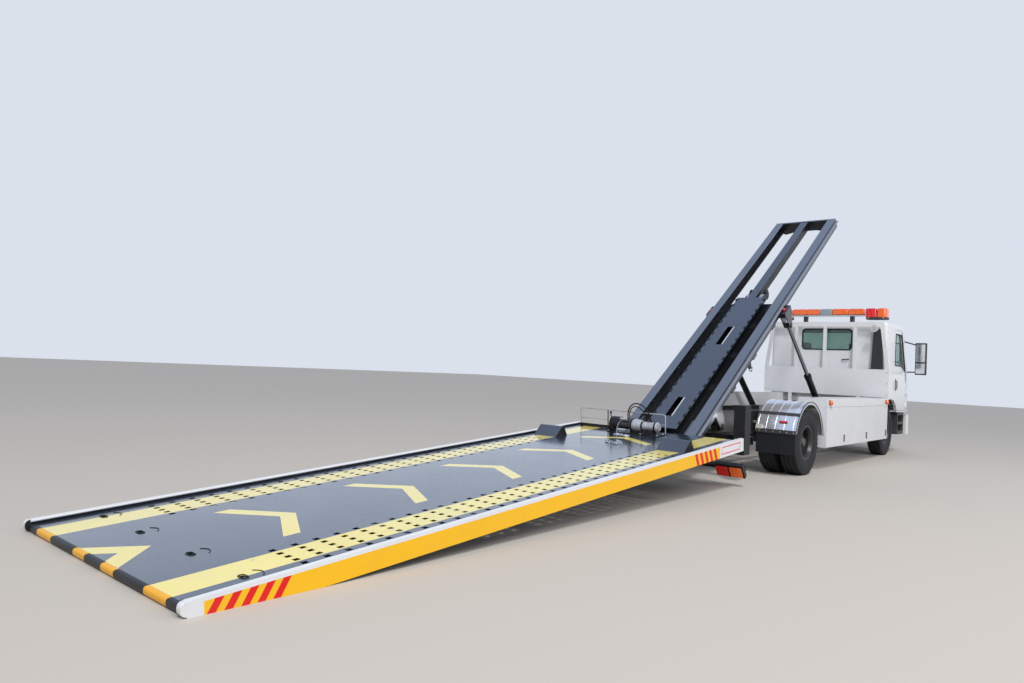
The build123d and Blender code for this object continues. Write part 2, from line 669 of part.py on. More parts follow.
def tyre(width):
    """A tyre about the Y axis, with a rounded shoulder and a flat tread."""
    outer, inner, half = tyre_radius, rim_diameter / 2, width / 2
    points = [(inner, -half + 30), (inner + 75, -half), (outer - 70, -half), (outer - 12, -half + 22),
              (outer, -half + 45), (outer, half - 45), (outer - 12, half - 22), (outer - 70, half),
              (inner + 75, half), (inner, half - 30)]
    face = make_face(Polyline(*[(x, y, 0) for x, y in points], close=True))
    return revolve(face, Axis.Y, 360)


def rim(width, disc_y, bore, hub_half):
    """A dished steel rim with a hub that runs on its spindle."""
    radius, half = rim_diameter / 2, width / 2 - 24
    points = [(radius, -half), (radius + 12, -half), (radius + 12, -half - 8), (radius - 10, -half - 8),
              (radius - 26, -half + 30), (radius - 26, disc_y - 6), (bore, disc_y - 6), (bore, disc_y + 6),
              (radius - 26, disc_y + 6), (radius - 26, half - 30), (radius - 10, half + 8),
              (radius + 12, half + 8), (radius + 12, half), (radius, half)]
    face = make_face(Polyline(*[(x, y, 0) for x, y in points], close=True))
    body = revolve(face, Axis.Y, 360)
    body = body + (Rot(90, 0, 0) * Cylinder(hub_radius, hub_half)) - (Rot(90, 0, 0) * Cylinder(bore, 400))
    for step in range(8):
        angle = radians(45 * step + 22.5)
        spot = Pos(150 * cos(angle), disc_y, 150 * sin(angle)) * Rot(90, 0, 0) * Cylinder(24, 60)
        body = body - spot
    return body


def wheels():
    front_y = front_track / 2
    inner_y = twin_outer_y - twin_spacing
    for side, name in ((1, "left"), (-1, "right")):
        spot = Pos(wheelbase, side * front_y, tyre_radius)
        keep("front_tyre_" + name, tyre(tyre_width), spot)
        keep("front_rim_" + name, rim(tyre_width, side * 45, spindle_radius + running_gap, 120), spot)
        places = [Pos(0, side * twin_outer_y, tyre_radius), Pos(0, side * inner_y, tyre_radius)]
        keep("rear_tyres_" + name, [place * tyre(tyre_width) for place in places])
        outer_rim = places[0] * rim(tyre_width, -side * 75, 42 + running_gap, 60)
        inner_rim = places[1] * rim(tyre_width, side * 75, 42 + running_gap, 60)
        hub_middle = side * (twin_outer_y + inner_y) / 2
        hub = round_y(0, tyre_radius, hub_radius, hub_middle - 75, hub_middle + 75)
        hub = hub - round_y(0, tyre_radius, 42 + running_gap, hub_middle - 80, hub_middle + 80)
        cap = round_y(0, tyre_radius, 80, side * (twin_outer_y - 12), side * (twin_outer_y - 2))
        tube = round_y(0, tyre_radius, 80, side * (twin_outer_y - 60), side * (twin_outer_y - 12))
        tube = tube - round_y(0, tyre_radius, 42 + running_gap, side * (twin_outer_y - 70),
                              side * (twin_outer_y - 12 + 0.01))
        keep("rear_rims_" + name, outer_rim + inner_rim + hub + tube + cap)
        knuckle(side, name)


def knuckle(side, name):
    """The steering knuckle: two ears on the kingpin and the spindle that carries the wheel."""
    centre_z = tyre_radius
    pin = kingpin_y
    plate = block(wheelbase - 55, wheelbase + 55, side * (pin + 52), side * (pin + 74), centre_z - 112,
                  centre_z + 112)
    body = plate
    for z0, z1 in ((centre_z + 77, centre_z + 112), (centre_z - 112, centre_z - 77)):
        ear = round_z(wheelbase, side * pin, 40, z0, z1)
        web = block(wheelbase - 38, wheelbase + 38, side * pin, side * (pin + 56), z0, z1)
        body = body + ear + web
    body = body - round_z(wheelbase, side * pin, 20 + running_gap, centre_z - 130, centre_z + 130)
    spindle = round_y(wheelbase, centre_z, spindle_radius, side * (pin + 70), side * (front_track / 2 + 80))
    arm = side_block_arm(side, centre_z)
    keep("knuckle_" + name, body + spindle + arm)


def side_block_arm(side, centre_z):
    """The track rod arm, pointing back and inwards from the lower ear."""
    z0, z1 = centre_z - 112, centre_z - 92
    outline = [(wheelbase - 30, side * (kingpin_y + 40)), (wheelbase - 30, side * (kingpin_y + 60)),
               (wheelbase - 190, side * (kingpin_y - 15)), (wheelbase - 190, side * (kingpin_y - 55)),
               (wheelbase - 150, side * (kingpin_y - 55))]
    face = make_face(Polyline(*[(x, y, z0) for x, y in outline], close=True))
    return extrude(face, amount=z1 - z0, dir=(0, 0, 1))


def frame_rails():
    low = frame_top - frame_rail_depth
    rails = both(channel(frame_back, frame_front, frame_half, frame_flange, low, frame_top, frame_wall))
    ear = side_plate([(-95, low), (-58, -12), (-40, -46), (0, -60), (40, -46), (58, -12), (95, low)],
                     ear_in, frame_half)
    ear = ear - round_y(0, 0, pin_radius + running_gap, ear_in - 5, frame_half + 5)
    lug_outer = cyl_y + eye_width / 2 + 13
    base = block(eye_u - 120, eye_u + 120, frame_half, lug_outer + 12, low + 5, low + 75)
    lug_points = [(eye_u - 110, low + 40), (eye_u - 42, eye_w - 20), (eye_u, eye_w - 48), (eye_u + 42, eye_w - 20),
                  (eye_u + 110, low + 40)]
    fork = base
    for y0 in (lug_outer, cyl_y - eye_width / 2 - 25):
        cheek = side_plate(lug_points, y0, y0 + 12)
        fork = fork + (cheek - round_y(eye_u, eye_w, 22, y0 - 5, y0 + 20))
    sides = []
    for rail, ears, forks in zip(rails, both(ear), both(fork)):
        sides.append(rail + ears + forks)
    body = sides[0] + sides[1]
    for ledge in both(block(frame_back, frame_front, frame_half - 2, frame_half + 38, frame_top - 50, frame_top - 42)):
        body = body + ledge
    for u in cross_u:
        body = body + block(u - 60, u + 60, -frame_half, frame_half, low - 26, low)
    arch = [(-frame_half, frame_top), (-frame_half, low), (-frame_half + 130, low - 60), (-160, low - 20),
            (160, low - 20), (frame_half - 130, low - 60), (frame_half, low), (frame_half, frame_top)]
    body = body + cross_plate(arch, frame_front - 30, frame_front)
    keep("frame_rails", body, frame_place)


def frame_cover():
    """The slotted cover plate, the box beam of the sliding gear above it and its two sheaves."""
    low = frame_top - frame_rail_depth
    back = frame_back + 95
    plate = block(back, cover_front, -cover_half, cover_half, frame_top - 12, frame_top)
    for u0, u1 in cover_slots:
        plate = plate - block(u0, u1, -50, 50, frame_top - 20, frame_top + 5)
    webs = both(block(back, cover_front, cover_half - 60, cover_half - 50, low, frame_top - 12))
    beam = block(cover_front, frame_front - 30, -beam_half, beam_half, low, frame_top - 6)
    beam = beam - block(cover_front - 1, frame_front - 29, -beam_half + 8, beam_half - 8, low + 8, frame_top - 14)
    body = plate + beam
    for web in webs:
        body = body + web
    for sheave in both(round_y(sheave_u, sheave_w, 80, beam_half, beam_half + 34)):
        body = body + sheave
    keep("frame_cover", body, frame_place)


def roller_chains():
    """The flat chain along each rail's lower flange, with wide outer links between narrow inner ones."""
    low = frame_top - frame_rail_depth + frame_wall
    middle = frame_half - 30
    start, end = frame_back + 10, frame_front - 40
    edge = []
    for link in range(int((end - start) / chain_pitch)):
        u = start + link * chain_pitch
        half = chain_narrow if link % 2 else chain_wide
        edge += [(u, half), (u + chain_pitch, half)]
    outline = edge + [(u, -half) for u, half in reversed(edge)]
    face = make_face(Polyline(*[(u, middle + y, low) for u, y in outline], close=True))
    keep("roller_chains", both(extrude(face, amount=chain_depth, dir=(0, 0, 1))), frame_place)


def tail_lamps():
    """The bar that hangs from the frame's back end, with a lamp box at each end."""
    back = frame_back - 35
    low = frame_top - frame_rail_depth
    rod = block(back, back + 45, -1020, 1020, -42, 3)
    boxes = both(block(back - 50, back, 690, 1020, -105, 65))
    hangers = both(block(back, frame_back + 30, 440, 456, -42, low)) + both(
        block(back, frame_back, 440, 456, low, low + 20))
    lenses = []
    for y0, y1 in ((700, 850), (862, 1010)):
        lenses += both(block(back - 62, back - 49, y0, y1, -92, 52))
    body = rod
    for extra in boxes + lenses + hangers:
        body = body + extra
    keep("tail_lamps", body, frame_place)


def carriage():
    """Two roller trucks in the frame's channels, on arms from the shaft that carries the deck."""
    centre = frame_top - frame_rail_depth / 2 - hinge_rest_w
    roller_w = frame_top - frame_rail_depth + frame_wall + roller_radius + roller_gap - hinge_rest_w
    plate_in, plate_out = frame_half - frame_flange - 42, frame_half - frame_flange - 12
    outline = [(-30, 20), (0, 38), (30, 14), (150, -85), (carriage_lead, centre + 48),
               (carriage_lead + carriage_length, centre + 48), (carriage_lead + carriage_length, centre - 48),
               (200, centre - 48), (-18, -34), (-36, -10)]
    truck = side_plate(outline, plate_in, plate_out)
    for offset_u in (70, carriage_length - 70):
        u = carriage_lead + offset_u
        truck = truck + round_y(u, roller_w, roller_radius, plate_out + 4, plate_out + 70)
        truck = truck + round_y(u, roller_w, 22, plate_out - 5, plate_out + 10)
    shaft = round_y(0, 0, hinge_radius, -plate_out - 8, plate_out + 8)
    body = shaft
    for half in both(truck):
        body = body + half
    keep("carriage", body, carriage_place)


def deck_floor():
    inner = deck_half - side_rail_wall
    floor = block(deck_back, deck_nose, -inner, inner, floor_low, hinge_below_floor)
    for side in (1, -1):
        floor = floor - block(track_back, track_front, side * track_in, side * track_out, 0, 100)
    for y in (-slot_far, -slot_near, slot_near, slot_far):
        slot = Pos(deck_back + 385, y, floor_low - 5) * extrude(SlotOverall(60, 26, rotation=90), amount=20)
        floor = floor - slot
    lip = block(deck_nose - 8, deck_nose, -inner, inner, floor_low - 35, floor_low)
    tail = block(deck_back, deck_back + 8, -inner, inner, hinge_below_floor - 44, floor_low)
    keep("deck_floor", floor + lip + tail, deck_place)


def lash_tracks():
    """The two perforated lashing strips let into the floor under the load's wheels."""
    strip = block(track_back, track_front, track_in, track_out, floor_low, hinge_below_floor)
    middle = (track_in + track_out) / 2
    rows = int((track_front - track_back - row_pitch / 2) / row_pitch)
    holes = []
    for row in range(rows):
        s = track_back + row_pitch * (row + 0.6)
        for column in (-2, -1, 0, 1, 2):
            y = middle + column * column_pitch
            holes.append(block(s - hole_size / 2, s + hole_size / 2, y - hole_size / 2, y + hole_size / 2, 0, 100))
    strip = strip - holes
    keep("lash_tracks", both(strip), deck_place)


def side_rails():
    wedge_s = deck_back + wedge_length
    outline = [(deck_back, rail_high), (deck_nose, rail_high), (deck_nose, rail_low), (wedge_s, rail_low),
               (deck_back, rail_high - tail_edge)]
    inside = deck_half - side_rail_width
    web = side_plate(outline, deck_half - side_rail_wall, deck_half)
    top = block(deck_back, deck_nose, inside, deck_half, rail_high - side_rail_wall, rail_high)
    bottom = block(wedge_s, deck_nose, inside, deck_half, rail_low, rail_low + side_rail_wall)
    lip = round_x(inside, rail_high - lip_radius, lip_radius, deck_back, deck_nose)
    caps = block(deck_back, deck_back + side_rail_wall, inside, deck_half, hinge_below_floor, rail_high)
    caps = caps + block(deck_nose - side_rail_wall, deck_nose, inside, deck_half, hinge_below_floor, rail_high)
    keep("side_rails", both(web + top + bottom + lip + caps), deck_place)


def deck_beams():
    """The cross beams, slide runners and hinge lugs under the floor, and the ribs of the tail wedge."""
    reach = deck_half - side_rail_width
    wedge_s = deck_back + wedge_length
    body = None
    s = first_beam
    while s > wedge_s:
        beam = block(s - 30, s + 30, -reach, reach, rail_low, floor_low)
        beam = beam - block(s - 24, s + 31, -reach - 1, reach + 1, rail_low + 6, floor_low - 6)
        body = beam if body is None else body + beam
        s -= beam_pitch
    for y in (-900, -560, -200, 200, 560, 900):
        rib = side_plate([(deck_back + 8, floor_low), (deck_back + 8, rail_high - tail_edge), (wedge_s, rail_low),
                          (wedge_s + 250, rail_low), (wedge_s + 250, floor_low)], y - 5, y + 5)
        body = body + rib
    for side in (1, -1):
        runner = block(runner_back, -60, side * 400, side * 460, runner_low, rail_low)
        runner = runner - block(runner_back - 1, -59, side * 406, side * 454, runner_low + 6, rail_low + 1)
        spine = block(runner_back, -60, side * 400, side * 408, rail_low, floor_low)
        body = body + runner + spine
        lug = side_plate([(-60, floor_low), (-34, -14), (0, -36), (34, -14), (60, floor_low)], side * 235, side * 262)
        body = body + lug
    body = body - round_y(0, 0, hinge_radius + running_gap, -400, 400)
    keep("deck_beams", body, deck_place)


def wheel_chocks():
    low = hinge_below_floor
    outline = [(chock_s - 130, low), (chock_s + 90, low), (chock_s + 30, low + 105), (chock_s - 5, low + 105)]
    keep("wheel_chocks", both(side_plate(outline, chock_in, chock_out)), deck_place)


def winch():
    """The winch across the deck's front: drum on the left, gearbox and motor to its right."""
    low = hinge_below_floor
    s, axis_n = winch_s, hinge_below_floor + 95
    body = block(s - 85, s + 85, -250, 430, low, low + 10)
    for y in (110, 395):
        body = body + block(s - 80, s + 80, y, y + 12, low, axis_n) + round_y(s, axis_n, 80, y, y + 12)
    body = body + round_y(s, axis_n, drum_radius, 100, 410)
    for y in (130, 380):
        body = body + round_y(s, axis_n, 78, y, y + 8)
    clamp_x, clamp_y, clamp_n = rope_points[0]
    body = body + block(clamp_x, clamp_x + 18, clamp_y - 10, clamp_y + 10, clamp_n - 12, clamp_n + 9)
    # motor and gearbox in steps along the drum's axis: radius, right y, left y
    for radius, right_y, left_y in ((74, 30, 110), (66, 5, 30), (52, -170, 5), (57, -205, -165), (40, -222, -205)):
        body = body + round_y(s, axis_n, radius, right_y, left_y)
    body = body + block(s - 50, s + 50, -150, -40, low, low + 60) + block(s - 60, s + 60, 35, 100, low, low + 40)
    lever_foot, lever_top = (s, 418, axis_n), (s - 12, 424, axis_n + 125)
    body = body + round_y(s, axis_n, 22, 400, 430) + bar(lever_foot, lever_top, 7) + Pos(*lever_top) * Sphere(15)
    keep("winch", body, deck_place)


def winch_guard():
    """The two-bar rail in front of the winch, with a low hoop on top of it."""
    low = hinge_below_floor
    levels = (low + 105, low + 225)
    body = None
    for y in (guard_left, 560, guard_right):
        post = block(guard_s - 7, guard_s + 7, y - 7, y + 7, low, levels[1] + 7)
        body = post if body is None else body + post
    for n in levels:
        body = body + round_y(guard_s, n, 6, guard_right, guard_left)
    crown = levels[1] + hoop_height
    arch = FilletPolyline((guard_s, hoop_right, levels[1]), (guard_s - 60, hoop_right, crown),
                          (guard_s - 60, hoop_left, crown), (guard_s, hoop_left, levels[1]), radius=50)
    hoop = sweep(Plane(origin=arch @ 0, z_dir=arch % 0) * Circle(6), path=arch)
    keep("winch_guard", body + hoop, deck_place)


def cylinders():
    barrels = []
    rods = []
    gland = cyl_flat - 150
    rod_back = cyl_length - (cyl_flat - 100)
    tube = round_x(0, 0, barrel_radius, 60, gland) + block(20, 62, -eye_width / 2, eye_width / 2, -32, 32)
    tube = tube + round_x(0, 0, barrel_radius + 6, gland - 60, gland - 8)
    tube = tube - round_x(0, 0, bore_radius, 90, gland - 40)
    tube = tube - round_x(0, 0, rod_radius + running_gap, gland - 50, gland + 5)
    eye = round_y(0, 0, 46, -eye_width / 2, eye_width / 2)
    barrel = (tube + eye) - round_y(0, 0, pin_radius + running_gap, -60, 60)
    rod = round_x(0, 0, rod_radius, rod_back, cyl_length - 30)
    rod = rod + round_x(0, 0, bore_radius - running_gap, rod_back, rod_back + 40)
    rod = rod + round_y(cyl_length, 0, 42, -eye_width / 2, eye_width / 2)
    rod = rod - round_y(cyl_length, 0, 22, -60, 60)
    for side in (1, -1):
        barrels.append(Pos(0, side * cyl_y, 0) * barrel)
        rods.append(Pos(0, side * cyl_y, 0) * rod)
    keep("cylinder_barrels", barrels, cyl_place)
    keep("cylinder_rods", rods, cyl_place)


def winch_rope():
    """The short free end of the wire rope, from the drum to the hook that lies on the floor."""
    path = FilletPolyline(*rope_points, radius=rope_radii)
    start = Plane(origin=rope_points[0], z_dir=Vector(*rope_points[1]) - Vector(*rope_points[0]))
    rope = sweep(start * Circle(rope_diameter / 2), path=path)
    keep("winch_rope", rope, deck_place)


def rope_hook():
    """The swaged sleeve, eye and open hook at the rope's end, lying flat on the floor, cut from plate."""
    end, before = Vector(*rope_points[-1]), Vector(*rope_points[-2])
    place = deck_place * Plane(origin=end, x_dir=end - before, z_dir=(0, 0, 1)).location
    low, high = -hook_thick / 2, hook_thick / 2
    sleeve = bar((0, 0, 0), (34, 0, 0), 8)
    ring = round_z(50, 0, 25, low, high) - round_z(50, 0, 12, low - 1, high + 1)
    shank = block(70, 115, -8, 8, low, high)
    bowl = round_z(148, 0, 44, low, high) - round_z(148, 0, 28, low - 1, high + 1)
    mouth = make_face(Polyline((148, 8, low - 1), (182, 49, low - 1), (182, 90, low - 1), (98, 90, low - 1),
                               (98, 8, low - 1), close=True))
    bowl = bowl - extrude(mouth, amount=hook_thick + 2, dir=(0, 0, 1))
    keep("rope_hook", sleeve + ring + shank + bowl, place)


for build in (chassis_frame, rear_beam, engine_block, front_axle, rear_axle, leaf_springs, headboard, snorkel,
              body_lamps, lockers, rear_fenders, mud_flaps, front_bumper, cab_steps, cab, cab_interior, mirrors,
              light_bar, wheels, frame_rails, frame_cover, roller_chains, tail_lamps, carriage,
              deck_floor, lash_tracks, side_rails, deck_beams, wheel_chocks, winch, winch_guard, winch_rope,
              rope_hook, cylinders):
    build()

everything = [solid for solids in pieces.values() for solid in solids]
boxes = [solid.bounding_box() for solid in everything]
middle_x = (min(b.min.X for b in boxes) + max(b.max.X for b in boxes)) / 2
middle_y = (min(b.min.Y for b in boxes) + max(b.max.Y for b in boxes)) / 2
floor_z = min(b.min.Z for b in boxes)
to_origin = Pos(-middle_x, -middle_y, -floor_z)

os.makedirs("parts", exist_ok=True)
for node, solids in pieces.items():
    moved = [to_origin * solid for solid in solids]
    shape = moved[0] if len(moved) == 1 else Compound(children=moved)
    export_step(shape, "parts/" + node + ".step")

print("origin in truck coordinates", round(middle_x, 3), round(middle_y, 3), round(floor_z, 3))
print("hinge", round(hinge_x, 2), round(hinge_z, 2), "deck angle", round(deck_angle, 4))
print("carriage travel", round(carriage_travel, 1))
print("cylinder", round(cyl_length, 3), round(cyl_flat, 3), round(cyl_angle, 4), round(cyl_flat_angle, 4))
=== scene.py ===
# Flatbed tow truck with its deck slid back and lowered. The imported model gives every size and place;
# this script adds finishes, tyre tread, lamps, paint, bolts and the rope.
import json
import math

import bmesh
import bpy
from mathutils import Matrix, Vector


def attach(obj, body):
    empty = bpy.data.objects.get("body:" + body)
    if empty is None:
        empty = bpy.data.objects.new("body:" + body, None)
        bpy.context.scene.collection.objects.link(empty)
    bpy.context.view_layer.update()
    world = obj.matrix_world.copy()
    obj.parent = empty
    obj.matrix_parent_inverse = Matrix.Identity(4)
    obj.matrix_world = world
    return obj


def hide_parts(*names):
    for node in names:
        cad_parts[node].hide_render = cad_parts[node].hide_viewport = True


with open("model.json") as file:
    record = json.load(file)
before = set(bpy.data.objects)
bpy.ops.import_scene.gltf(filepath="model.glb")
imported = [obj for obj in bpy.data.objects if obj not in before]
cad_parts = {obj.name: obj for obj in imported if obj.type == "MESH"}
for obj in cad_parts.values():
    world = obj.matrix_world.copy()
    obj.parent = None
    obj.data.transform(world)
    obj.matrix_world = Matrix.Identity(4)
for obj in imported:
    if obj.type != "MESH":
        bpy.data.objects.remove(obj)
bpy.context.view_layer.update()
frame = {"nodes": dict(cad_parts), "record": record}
nodes = frame["nodes"]
record = frame["record"]
joints = {joint["name"]: joint for joint in record["behaviour"]["joints"]}
scene = bpy.context.scene
bothSides = ((1, "left"), (-1, "right"))
print("frame loaded,", len(nodes), "nodes")


# where things lie

def placed(origin, xAxis, yAxis, zAxis):
    place = Matrix((xAxis, yAxis, zAxis)).transposed().to_4x4()
    place.translation = Vector(origin)
    return place


def alongPlace(origin, along):
    # x along a slanted line in the truck's side plane, y to the left
    xAxis = Vector(along).normalized()
    yAxis = Vector((0, 1, 0))
    return placed(origin, xAxis, yAxis, xAxis.cross(yAxis))


def facing(origin, normal, along=(1, 0, 0)):
    # z points out along a normal, x stays near a given direction
    zAxis = Vector(normal).normalized()
    xAxis = Vector(along) - zAxis * Vector(along).dot(zAxis)
    xAxis.normalize()
    return placed(origin, xAxis, zAxis.cross(xAxis), zAxis)


deckUp = Vector(record["mounts"][0]["axis"])
deckPlace = alongPlace(joints["deck_pitch"]["pos_m"], (deckUp.z, 0, -deckUp.x))
deckAlong = deckPlace.col[0].xyz
tiltPlace = alongPlace(joints["frame_tilt"]["pos_m"], joints["carriage_slide"]["axis"])
tiltAlong, tiltLeft, tiltUp = (tiltPlace.col[axis].xyz for axis in range(3))
rearX, axleZ = joints["rear_spin_right"]["pos_m"][0], joints["rear_spin_right"]["pos_m"][2]
frontX = joints["front_spin_right"]["pos_m"][0]


def onDeck(along, y, above):
    return deckPlace @ Vector((along, y, above))


def onTilt(along, y, above):
    return tiltPlace @ Vector((along, y, above))


def localBox(node, place):
    # a node's lowest and highest corners measured in a slanted frame
    turned = place.inverted()
    points = [turned @ vertex.co for vertex in nodes[node].data.vertices]
    low = Vector([min(point[axis] for point in points) for axis in range(3)])
    high = Vector([max(point[axis] for point in points) for axis in range(3)])
    return low, high


def fromAxle(x, y, z):
    # metres ahead of the rear axle, to the left and above the ground
    return Vector((rearX + x, y, z))


def facingBack(x, y, z):
    return facing(fromAxle(x, y, z), (-1, 0, 0))


# mesh code that the pieces share

def addObject(name, data):
    thing = bpy.data.objects.new(name, data)
    scene.collection.objects.link(thing)
    return thing


def paintFaces(verts, material):
    for face in {face for vert in verts for face in vert.link_faces}:
        face.material_index = material


def addBox(bm, low, high, place=Matrix(), material=0):
    low, high = Vector(low), Vector(high)
    size = [abs(b - a) for a, b in zip(low, high)]
    turned = place @ Matrix.Translation((low + high) / 2) @ Matrix.Diagonal((*size, 1))
    paintFaces(bmesh.ops.create_cube(bm, size=1, matrix=turned)["verts"], material)


def addBar(bm, start, end, radius, place=Matrix(), material=0, sides=16, endRadius=None):
    start, end = place @ Vector(start), place @ Vector(end)
    along = end - start
    turned = Matrix.Translation((start + end) / 2) @ along.to_track_quat("Z", "Y").to_matrix().to_4x4()
    made = bmesh.ops.create_cone(bm, cap_ends=True, segments=sides, radius1=radius,
                                 radius2=radius if endRadius is None else endRadius,
                                 depth=along.length, matrix=turned)
    paintFaces(made["verts"], material)


def bridge(bm, rings, material=0, closed=False):
    # faces from each ring of points to the next, and back to the first where closed
    for ring, after in zip(rings, rings[1:] + (rings[:1] if closed else [])):
        for index in range(len(ring)):
            follow = (index + 1) % len(ring)
            face = bm.faces.new((ring[index], ring[follow], after[follow], after[index]))
            face.material_index = material


def addCaps(bm, rings, material=0):
    for ring in (rings[0], rings[-1]):
        bm.faces.new(ring).material_index = material


def turnSections(bm, sections, place, material=0, closed=True):
    # one section of (radius, height) at each step round the place's own z
    rings = []
    for step, section in enumerate(sections):
        angle = 2 * math.pi * step / len(sections)
        rings.append([bm.verts.new(place @ Vector((r * math.cos(angle), r * math.sin(angle), h)))
                      for r, h in section])
    for ring, after in zip(rings, rings[1:] + rings[:1]):
        for index in range(len(ring) - (0 if closed else 1)):
            follow = (index + 1) % len(ring)
            face = bm.faces.new((ring[index], after[index], after[follow], ring[follow]))
            face.material_index = material
    return rings


def addLathe(bm, profile, place, material=0, sides=48, closed=False):
    rings = turnSections(bm, [profile] * sides, place, material, closed)
    if min(r for r, h in profile) == 0:
        bmesh.ops.remove_doubles(bm, verts=[vert for ring in rings for vert in ring], dist=1e-6)


def addPlate(bm, outline, thick, place, material=0):
    # outline in the place's x y plane, thickened along its z
    rings = [[bm.verts.new(place @ Vector((x, y, z))) for x, y in outline] for z in (0, thick)]
    addCaps(bm, rings, material)
    bridge(bm, rings, material)


def addRod(bm, path, radius, place=Matrix(), material=0, sides=10, closed=False):
    # a round rod along a list of points
    points = [place @ Vector(point) for point in path]
    count = len(points)
    rings = []
    side = None
    for index, point in enumerate(points):
        before = points[index - 1] if index or closed else point
        after = points[(index + 1) % count] if index < count - 1 or closed else point
        along = (after - before).normalized()
        if side is None:
            side = along.orthogonal().normalized()
        side = (side - along * side.dot(along)).normalized()
        other = along.cross(side)
        rings.append([bm.verts.new(point + (side * math.cos(a) + other * math.sin(a)) * radius)
                      for a in (2 * math.pi * step / sides for step in range(sides))])
    bridge(bm, rings, material, closed)
    if not closed:
        addCaps(bm, rings, material)


def addNut(bm, place, radius=0.012, height=0.009, material=0):
    # a hexagon head on a washer, standing on the place's x y plane
    addBar(bm, (0, 0, 0), (0, 0, height * 0.2), radius * 1.35, place, material, 12)
    addBar(bm, (0, 0, height * 0.2), (0, 0, height), radius, place, material, 6)


def circlePoints(radius, steps, height=0.0, shift=0.0):
    angles = [2 * math.pi * (step + shift) / steps for step in range(steps)]
    return [(radius * math.cos(angle), radius * math.sin(angle), height) for angle in angles]


def arcPoints(radius, start, turn, steps):
    # from a start through a turn, both in degrees
    angles = [math.radians(start + turn * step / steps) for step in range(steps + 1)]
    return [(radius * math.cos(angle), radius * math.sin(angle)) for angle in angles]


def roundedOutline(width, depth, radius, steps=5):
    points = []
    for cornerX, cornerY, start in ((1, 1, 0), (-1, 1, 90), (-1, -1, 180), (1, -1, 270)):
        for x, y in arcPoints(radius, start, 90, steps):
            points.append((cornerX * (width / 2 - radius) + x, cornerY * (depth / 2 - radius) + y))
    return points


def finishPiece(bm, name, body, finishNames, bevel=0.0, angle=38, replaces=(), segments=2):
    bmesh.ops.recalc_face_normals(bm, faces=bm.faces)
    mesh = bpy.data.meshes.new(name)
    bm.to_mesh(mesh)
    bm.free()
    for finish in finishNames:
        mesh.materials.append(materials[finish])
    mesh.shade_smooth()
    mesh.set_sharp_from_angle(angle=math.radians(angle))
    piece = addObject(name, mesh)
    if bevel:
        soft = piece.modifiers.new("edges", "BEVEL")
        soft.width = bevel
        soft.segments = segments
        soft.limit_method = "ANGLE"
        soft.angle_limit = math.radians(angle)
    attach(piece, body)
    if replaces:
        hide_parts(*replaces)
    return piece


# camera at the photo's viewing angle

cameraValues = {
    "place": (-8.5882, -4.383, 1.223),
    "yaw": 40.71,
    "pitch": 1.935,
    "roll": 2.907,
    "lens": 25.907,
}


def makeCamera(values):
    yaw, pitch, roll = (math.radians(values[key]) for key in ("yaw", "pitch", "roll"))
    ahead = Vector((math.cos(yaw) * math.cos(pitch), math.sin(yaw) * math.cos(pitch), math.sin(pitch)))
    right = Vector((math.sin(yaw), -math.cos(yaw), 0))
    up = right.cross(ahead)
    right = right * math.cos(roll) + up * math.sin(roll)
    up = right.cross(ahead)
    camera = addObject("camera", bpy.data.cameras.new("camera"))
    camera.data.lens = values["lens"]
    camera.data.sensor_width = 36
    camera.data.clip_end = 200
    camera.matrix_world = placed(values["place"], right, up, -ahead)
    scene.camera = camera


makeCamera(cameraValues)


# node code that the studio and the finishes share

def setInputs(node, values):
    for key, value in values.items():
        node.inputs[key].default_value = value


def addNode(tree, kind, settings=(), values=()):
    node = tree.nodes.new("ShaderNode" + kind)
    for key, value in dict(settings).items():
        setattr(node, key, value)
    setInputs(node, dict(values))
    return node


def plug(tree, value, socket):
    # another node's output is linked, anything else is set
    if hasattr(value, "is_linked"):
        tree.links.new(value, socket)
    else:
        socket.default_value = value


def mathNode(tree, operation, first, second=None, clamp=False):
    node = addNode(tree, "Math", {"operation": operation, "use_clamp": clamp})
    plug(tree, first, node.inputs[0])
    if second is not None:
        plug(tree, second, node.inputs[1])
    return node.outputs[0]


def times(tree, first, second, clamp=False):
    return mathNode(tree, "MULTIPLY", first, second, clamp)


def plus(tree, first, second, clamp=False):
    return mathNode(tree, "ADD", first, second, clamp)


def minus(tree, first, second, clamp=False):
    return mathNode(tree, "SUBTRACT", first, second, clamp)


def over(tree, value, low):
    return mathNode(tree, "GREATER_THAN", value, low)


def under(tree, value, high):
    return mathNode(tree, "LESS_THAN", value, high)


def vectorNode(tree, operation, first, second):
    node = addNode(tree, "VectorMath", {"operation": operation})
    plug(tree, first, node.inputs[0])
    plug(tree, second, node.inputs[1])
    return node


def mixColours(tree, factor, first, second):
    node = addNode(tree, "Mix", {"data_type": "RGBA"})
    for index, value in ((0, factor), (6, first), (7, second)):
        plug(tree, value, node.inputs[index])
    return node.outputs[2]


def noise(tree, place, values, scale=None):
    node = addNode(tree, "TexNoise", values=values)
    tree.links.new(place, node.inputs["Vector"])
    if scale is not None:
        tree.links.new(scale, node.inputs["Scale"])
    return node.outputs["Fac"]


def addBump(tree, height, strength, distance, normal=None):
    node = addNode(tree, "Bump", values={"Strength": strength, "Distance": distance})
    tree.links.new(height, node.inputs["Height"])
    if normal is not None:
        tree.links.new(normal, node.inputs["Normal"])
    return node.outputs["Normal"]


# studio: a pale floor, a soft world, two large lamps and a sun

stageValues = {
    "floorHalf": 60,
    "floorColour": (0.52, 0.475, 0.425),
    "skyColour": (0.84, 0.90, 1.0),
    "skyStrength": 0.44,
    "seenSky": 0.84,
    "mirroredSky": 0.98,
    "upperSky": (0.50, 0.65, 0.95),
    "upperSkyFrom": (0.15, 0.50),
    "keyEnergy": 1150,
    "fillEnergy": 420,
    "sunStrength": 1.25,
}


